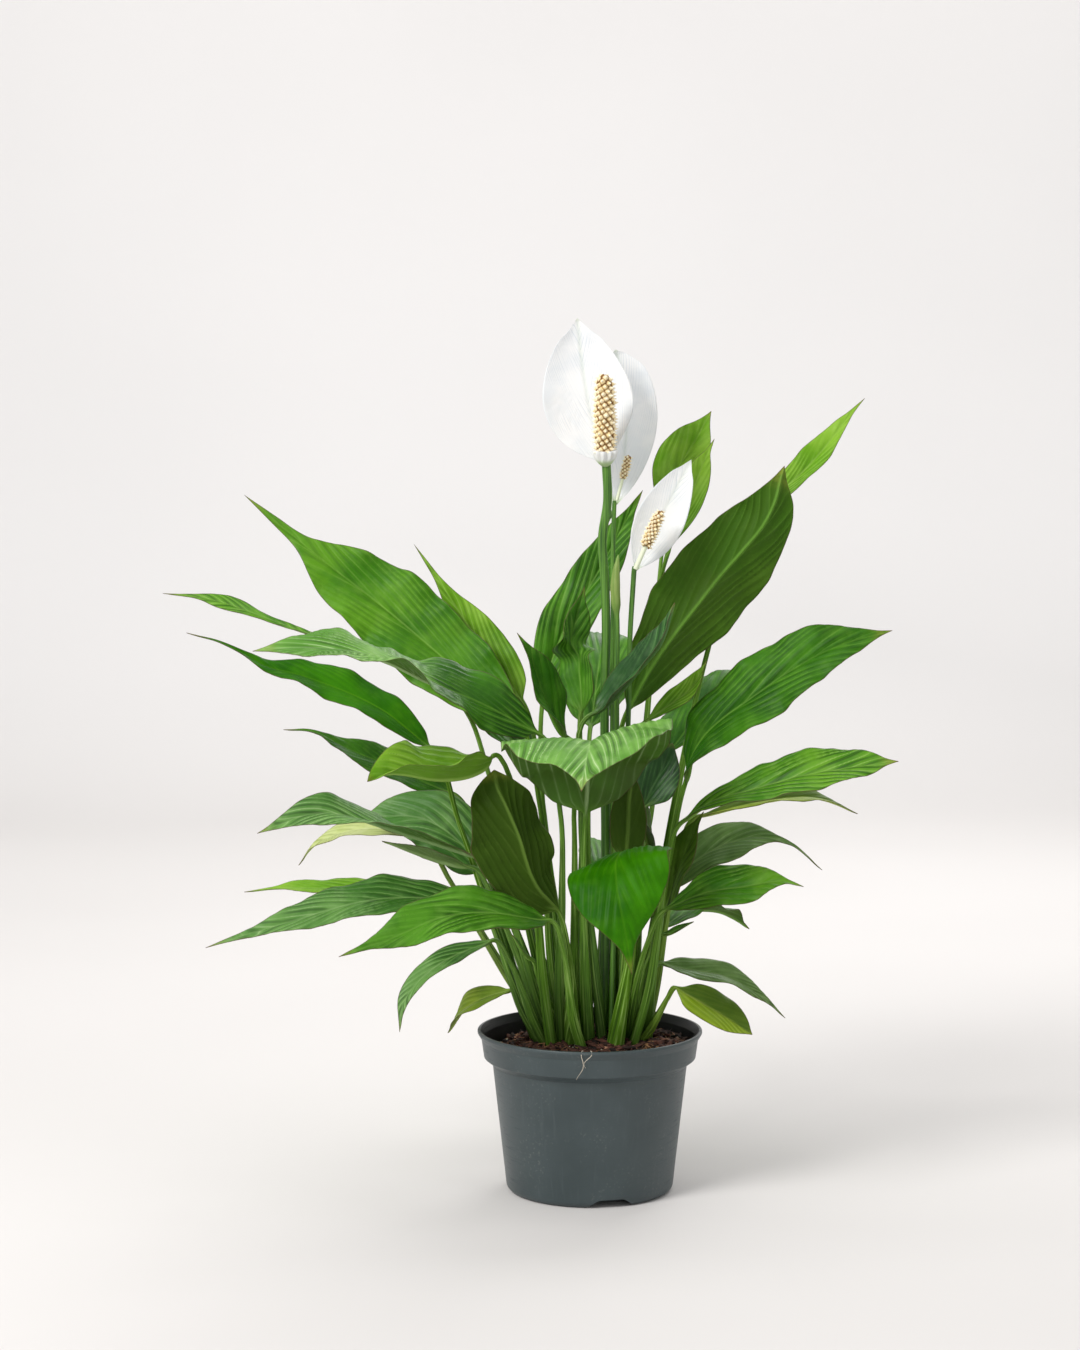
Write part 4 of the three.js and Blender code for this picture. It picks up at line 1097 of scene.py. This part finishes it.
pot_plastic = pot_material()


def make_pot():
    outside = turned("pot_fine", [
        [0, 0, 0],
        [FOOT_RADIUS - 0.7 * MM, 0, 5.5 * MM],
        [WALL_TOP_RADIUS, BAND_FOOT - BAND_STEP, 1.4 * MM],
        [BAND_FOOT_RADIUS - 0.3 * MM, BAND_FOOT, 1.3 * MM],
        [LIP_FOOT_RADIUS, POT_HEIGHT - LIP_HEIGHT, 3 * MM],
        [RIM_RADIUS, POT_HEIGHT - 2 * MM, 0.8 * MM],
        [RIM_RADIUS, POT_HEIGHT, 0.8 * MM],
        [0, POT_HEIGHT, 0],
    ])
    inside = turned("pot_inside", [
        [0, POT_FLOOR, 0],
        [FOOT_RADIUS - POT_WALL - 0.7 * MM, POT_FLOOR, 4 * MM],
        [WALL_TOP_RADIUS - POT_WALL, BAND_FOOT - BAND_STEP + 0.6 * MM, 1.4 * MM],
        [BAND_FOOT_RADIUS - POT_WALL - 0.4 * MM, BAND_FOOT + 1 * MM, 1.3 * MM],
        [LIP_FOOT_RADIUS - POT_WALL - 0.2 * MM, POT_HEIGHT - LIP_HEIGHT + 0.6 * MM, 3 * MM],
        [RIM_RADIUS - POT_WALL + 0.1 * MM, POT_HEIGHT + 2 * MM, 0],
        [0, POT_HEIGHT + 2 * MM, 0],
    ])
    outside = cut(outside, *(arch(angle, 0) for angle in ARCHES))
    inside = cut(inside, *(arch(angle, POT_WALL) for angle in ARCHES))
    holes = [drill(radius, angle + turn) for radius, turn in HOLE_CIRCLES for angle in ARCHES]
    pot = cut(cut(outside, inside), *holes)
    points = np.array([v.co[:] for v in pot.data.vertices])
    heights = [0, BAND_FOOT - BAND_STEP, BAND_FOOT, POT_HEIGHT - LIP_HEIGHT, POT_HEIGHT]
    outer = [FOOT_RADIUS, WALL_TOP_RADIUS, BAND_FOOT_RADIUS, LIP_FOOT_RADIUS, RIM_RADIUS]
    depth = np.interp(points[:, 2], heights, outer) - np.hypot(points[:, 0], points[:, 1])
    # the inner faces, which the pot's material paints almost black as painted shade
    inner = (depth > INSIDE_DEPTH) & (points[:, 2] > BAND_FOOT - BAND_STEP)
    store(pot.data, "inside", inner)
    pot.data.shade_smooth()
    pot.data.set_sharp_from_angle(angle=math.radians(38))
    return pot


piece(make_pot(), "pot_plastic", "pot")


# ---------------------------------------------------------------- potting mix

MIX_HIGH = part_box("potting_mix")[1].z
MIX_RADIUS = 80.6 * MM
MIX_BED = 12 * MM
MIX_SIDES = 240
# radius and height up the side of the mix, inside the pot's wall
MIX_WALL = [(44 * MM, MIX_BED), (62 * MM, MIX_BED + 3 * MM), (72.6 * MM, 98 * MM), (79 * MM, 105 * MM)]
MIX_FALL = 9 * MM  # how far the mound falls towards the wall
MIX_TILT = 3 * MM  # how much higher it lies on its right
STRAND_SIDES = 7


def mix_height(x, y):
    """The uneven top of the mix."""
    r = math.hypot(x, y)
    tilt = MIX_TILT * (x / (75 * MM)) * min(1, r / (60 * MM))
    base = MIX_HIGH - MIX_FALL * (r / (72 * MM)) ** 2 - 0.6 * MM + tilt
    slow = noise.noise(Vector((x * 38, y * 38, 3.1)))
    lumps = noise.fractal(Vector((x * 150, y * 150, 9.7)), 0.8, 2.1, 4)
    return base + 2.2 * MM * slow + 1.5 * MM * lumps


def make_mix():
    angle = turns(MIX_SIDES)
    rings = [level_ring(r, z, angle) for r, z in MIX_WALL]
    for r in np.linspace(MIX_RADIUS, 1 * MM, 84):
        rings.append([(x, y, mix_height(x, y)) for x, y, _ in level_ring(r, 0, angle)])
    top = (0, 0, mix_height(0, 0))
    return loft("potting_mix_fine", np.array(rings), (0, 0, MIX_BED), top, mix_material())


def free_spot(rng, clear, reach=75 * MM):
    """A place on the mix that keeps clear of the stalks' feet."""
    while True:
        r = reach * math.sqrt(rng.random())
        a = rng.uniform(0, 2 * math.pi)
        x, y = r * math.cos(a), r * math.sin(a)
        if all(math.hypot(x - f[0], y - f[1]) > clear for f in feet):
            return x, y


def scatter(name, material, count, seed, sizes, tilt, sink, clear, rough):
    """Loose bits on the mix: pebbles stretched to sizes, roughened and turned."""
    rng = random.Random(seed)
    pebble, pebble_faces = ball(2)
    bits, shades = [], []
    for _ in range(count):
        x, y = free_spot(rng, clear * MM)
        size = np.array([rng.uniform(*span) for span in sizes]) * MM
        shift = rng.uniform(0, 50)
        bumps = [1 + rough * noise.noise(Vector(p) * 1.7 + Vector((shift, 0, 0))) for p in pebble]
        shape = pebble * np.array(bumps)[:, None] * size / 2
        shape = shape @ turn_matrix(rng.uniform(0, 6.3), rng.gauss(0, tilt), rng.gauss(0, tilt)).T
        height = mix_height(x, y) + size[2] * sink
        bits.append(shape + (x, y, height))
        shades.append([rng.random()])
    return copies(name, bits, pebble_faces, material, {"shade": shades})


def strand(path, radius):
    """The rings of a thin strand that tapers to both ends."""
    path = np.asarray(path)
    heading = unit(np.gradient(path, axis=0))
    side = unit(np.cross(heading, [0.3, 0.2, 1.0]))
    other = np.cross(side, heading)
    share = np.linspace(0, 1, len(path))
    thick = radius * (0.35 + 0.65 * np.sin(math.pi * np.clip(share, 0.04, 0.96)))
    return path[:, None] + thick[:, None, None] * spokes(side[:, None], other[:, None], turns(-STRAND_SIDES))


def strands(name, material, paths, radii, seed):
    """Many strands in one mesh."""
    rng = random.Random(seed)
    points, quads, fans, shades, start = [], [], [], [], 0
    for path, radius in zip(paths, radii):
        rings = strand(path, radius)
        block = np.concatenate([[path[0]], rings.reshape(-1, 3), [path[-1]]])
        side_faces, *ends = loft_faces(*rings.shape[:2], start)
        quads.append(side_faces)
        fans += ends
        points.append(block)
        shades.append(np.full(len(block), rng.random()))
        start += len(block)
    faces = [np.concatenate(quads), np.concatenate(fans)]
    return place_mesh(name, np.concatenate(points), faces, material, {"shade": np.concatenate(shades)})


def fibre_paths(count, seed):
    rng = random.Random(seed)
    paths, radii = [], []
    for _ in range(count):
        x, y = free_spot(rng, 5 * MM, 72 * MM)
        turn = rng.uniform(0, 6.3)
        bend = rng.gauss(0, 0.09)
        step = rng.uniform(0.9, 2.4) * MM
        lift = rng.uniform(0.1, 1.6) * MM
        path = []
        for k in range(12):
            path.append((x, y, mix_height(x, y) + 0.3 * MM + lift * math.sin(math.pi * k / 11)))
            x += step * math.cos(turn)
            y += step * math.sin(turn)
            turn += bend + rng.gauss(0, 0.14)
            if math.hypot(x, y) > 77 * MM:
                turn += 1.2
        paths.append(path)
        radii.append(rng.uniform(0.18, 0.42) * MM)
    return paths, radii


bark = bit_material("bark", (18, 11, 9), (92, 56, 44), 0.8)
pale_bark = bit_material("bark_pale", (80, 48, 36), (176, 130, 104), 0.8)
grain = bit_material("mix_grain", (150, 140, 122), (214, 208, 194), 0.75)
fibre = bit_material("mix_fibre", (88, 58, 36), (164, 124, 84), 0.8)
root_skin = bit_material("root_strand", (150, 138, 120), (206, 198, 184), 0.6)

piece(make_mix(), "potting_mix", "potting_mix")
# each kind of loose bit: its name, material, count and seed; its least and greatest length, width and
# thickness in mm; how far it tilts, how high it sits, how many mm it keeps from the stalks; how rough it is
LITTER = [
    ("mix_bark", bark, 620, 11, [(5, 14), (3, 7), (1.4, 3)], 0.28, 0.15, 6, 0.7),
    ("mix_bark_pale", pale_bark, 70, 12, [(4, 11), (2, 5), (1, 2.2)], 0.35, 0.35, 6, 0.7),
    ("mix_crumbs", bark, 900, 13, [(1.2, 3.4), (1, 2.6), (0.8, 2)], 0.6, 0.3, 5, 0.9),
    ("mix_grains", grain, 90, 14, [(1.2, 2.6), (1.1, 2.2), (1, 1.8)], 0.5, 0.45, 5, 0.4),
]
for kind in LITTER:
    piece(scatter(*kind), "potting_mix")
piece(strands("mix_fibres", fibre, *fibre_paths(240, 15), 16), "potting_mix")


ROOT_STEPS = 25
ROOT_INSIDE = 0.3  # share of the root that lies inside the rim


def over_the_rim():
    """A thin dry root that hangs over the front of the rim, in two strands."""
    out = RIM_RADIUS + 0.5 * MM
    paths = []
    for lean, drop in ((-0.115, 22 * MM), (-0.06, 13 * MM)):
        path = []
        for k in range(ROOT_STEPS + 1):
            t = k / ROOT_STEPS
            a = -math.pi / 2 + lean + 0.07 * (1 - t) + 0.02 * math.sin(9 * t + 40 * lean)
            if t < ROOT_INSIDE:
                s = t / ROOT_INSIDE
                r = 74 * MM + (out - 76 * MM) * s
                z = POT_HEIGHT - 12 * MM + 12.8 * MM * math.sin(s * math.pi / 2)
            else:
                s = (t - ROOT_INSIDE) / (1 - ROOT_INSIDE)
                r = out - 2 * MM + 2 * MM * min(1, s * 6) - 1.6 * MM * s
                z = POT_HEIGHT + 0.8 * MM - drop * s
            path.append((r * math.cos(a), r * math.sin(a), z))
        paths.append(path)
    return paths, [0.34 * MM, 0.28 * MM]


piece(strands("root_strand", root_skin, *over_the_rim(), 17), "potting_mix")


# ---------------------------------------------------------------- stage, lights, camera


def stage_material():
    g = Graph("stage", Specular_IOR_Level=0.1)
    cloud = g.span(g.noise(0.9, 2), 0.3, 0.7)
    far = g.span(g.split(g.place(), "Y"), 1.9, 3.4)
    floor = g.mix(cloud, (222, 219, 217), (218, 215, 213))
    wall = g.mix(cloud, (242, 240, 239), (239, 237, 236))
    g.paint(g.mix(far, floor, wall), 0.9)
    return g.material


STAGE_FRONT, STAGE_SIDE, STAGE_HEIGHT = -4.0, 6.0, 5.0
SWEEP_START, SWEEP_RADIUS = 2.2, 1.4  # where the floor begins to rise, and how gently


def make_stage():
    """A floor that sweeps up into a backdrop far behind."""
    profile = [(STAGE_FRONT, 0.0), (SWEEP_START, 0.0)]
    for a in np.linspace(0.06, math.pi / 2, 24):
        profile.append((SWEEP_START + SWEEP_RADIUS * math.sin(a), SWEEP_RADIUS * (1 - math.cos(a))))
    profile.append((SWEEP_START + SWEEP_RADIUS, STAGE_HEIGHT))
    points = [(x, y, z) for y, z in profile for x in (-STAGE_SIDE, STAGE_SIDE)]
    faces = np.array([[2 * k, 2 * k + 1, 2 * k + 3, 2 * k + 2] for k in range(len(profile) - 1)])
    place_mesh("stage", points, [faces], stage_material())


def area_light(name, place, target, size, power, colour=(1, 1, 1)):
    light = bpy.data.lights.new(name, "AREA")
    light.shape = "DISK"
    light.size = size
    light.energy = power
    light.color = colour
    obj = bpy.data.objects.new(name, light)
    obj.location = place
    obj.rotation_euler = (Vector(target) - Vector(place)).to_track_quat("-Z", "Y").to_euler()
    bpy.context.scene.collection.objects.link(obj)


make_stage()
MIDDLE = (0, 0, 0.35)
area_light("key", (-1.5, -1.6, 1.9), MIDDLE, 1.1, 54, (1, 0.99, 0.98))
area_light("fill", (1.9, -1.5, 1.0), MIDDLE, 1.6, 4)
area_light("back", (0.7, 1.7, 1.7), MIDDLE, 1.2, 16)
area_light("backdrop", (0, 0.9, 3.4), (0, 3.6, 1.6), 3.0, 38)

world = bpy.data.worlds.new("studio")
world.use_nodes = True
sky = world.node_tree.nodes["Background"].inputs
sky["Color"].default_value = (1, 1, 1, 1)
sky["Strength"].default_value = 0.6
bpy.context.scene.world = world

camera = bpy.data.cameras.new("camera")
camera.lens = 76.7
camera.sensor_width = 36
camera.clip_end = 50
eye = bpy.data.objects.new("camera", camera)
eye.location = (-0.0386, -2.2, 0.581)
eye.rotation_euler = (math.radians(90 - 4.7), 0, 0)
bpy.context.scene.collection.objects.link(eye)
bpy.context.scene.camera = eye
bpy.context.scene.view_settings.view_transform = "Standard"

bpy.context.view_layer.update()
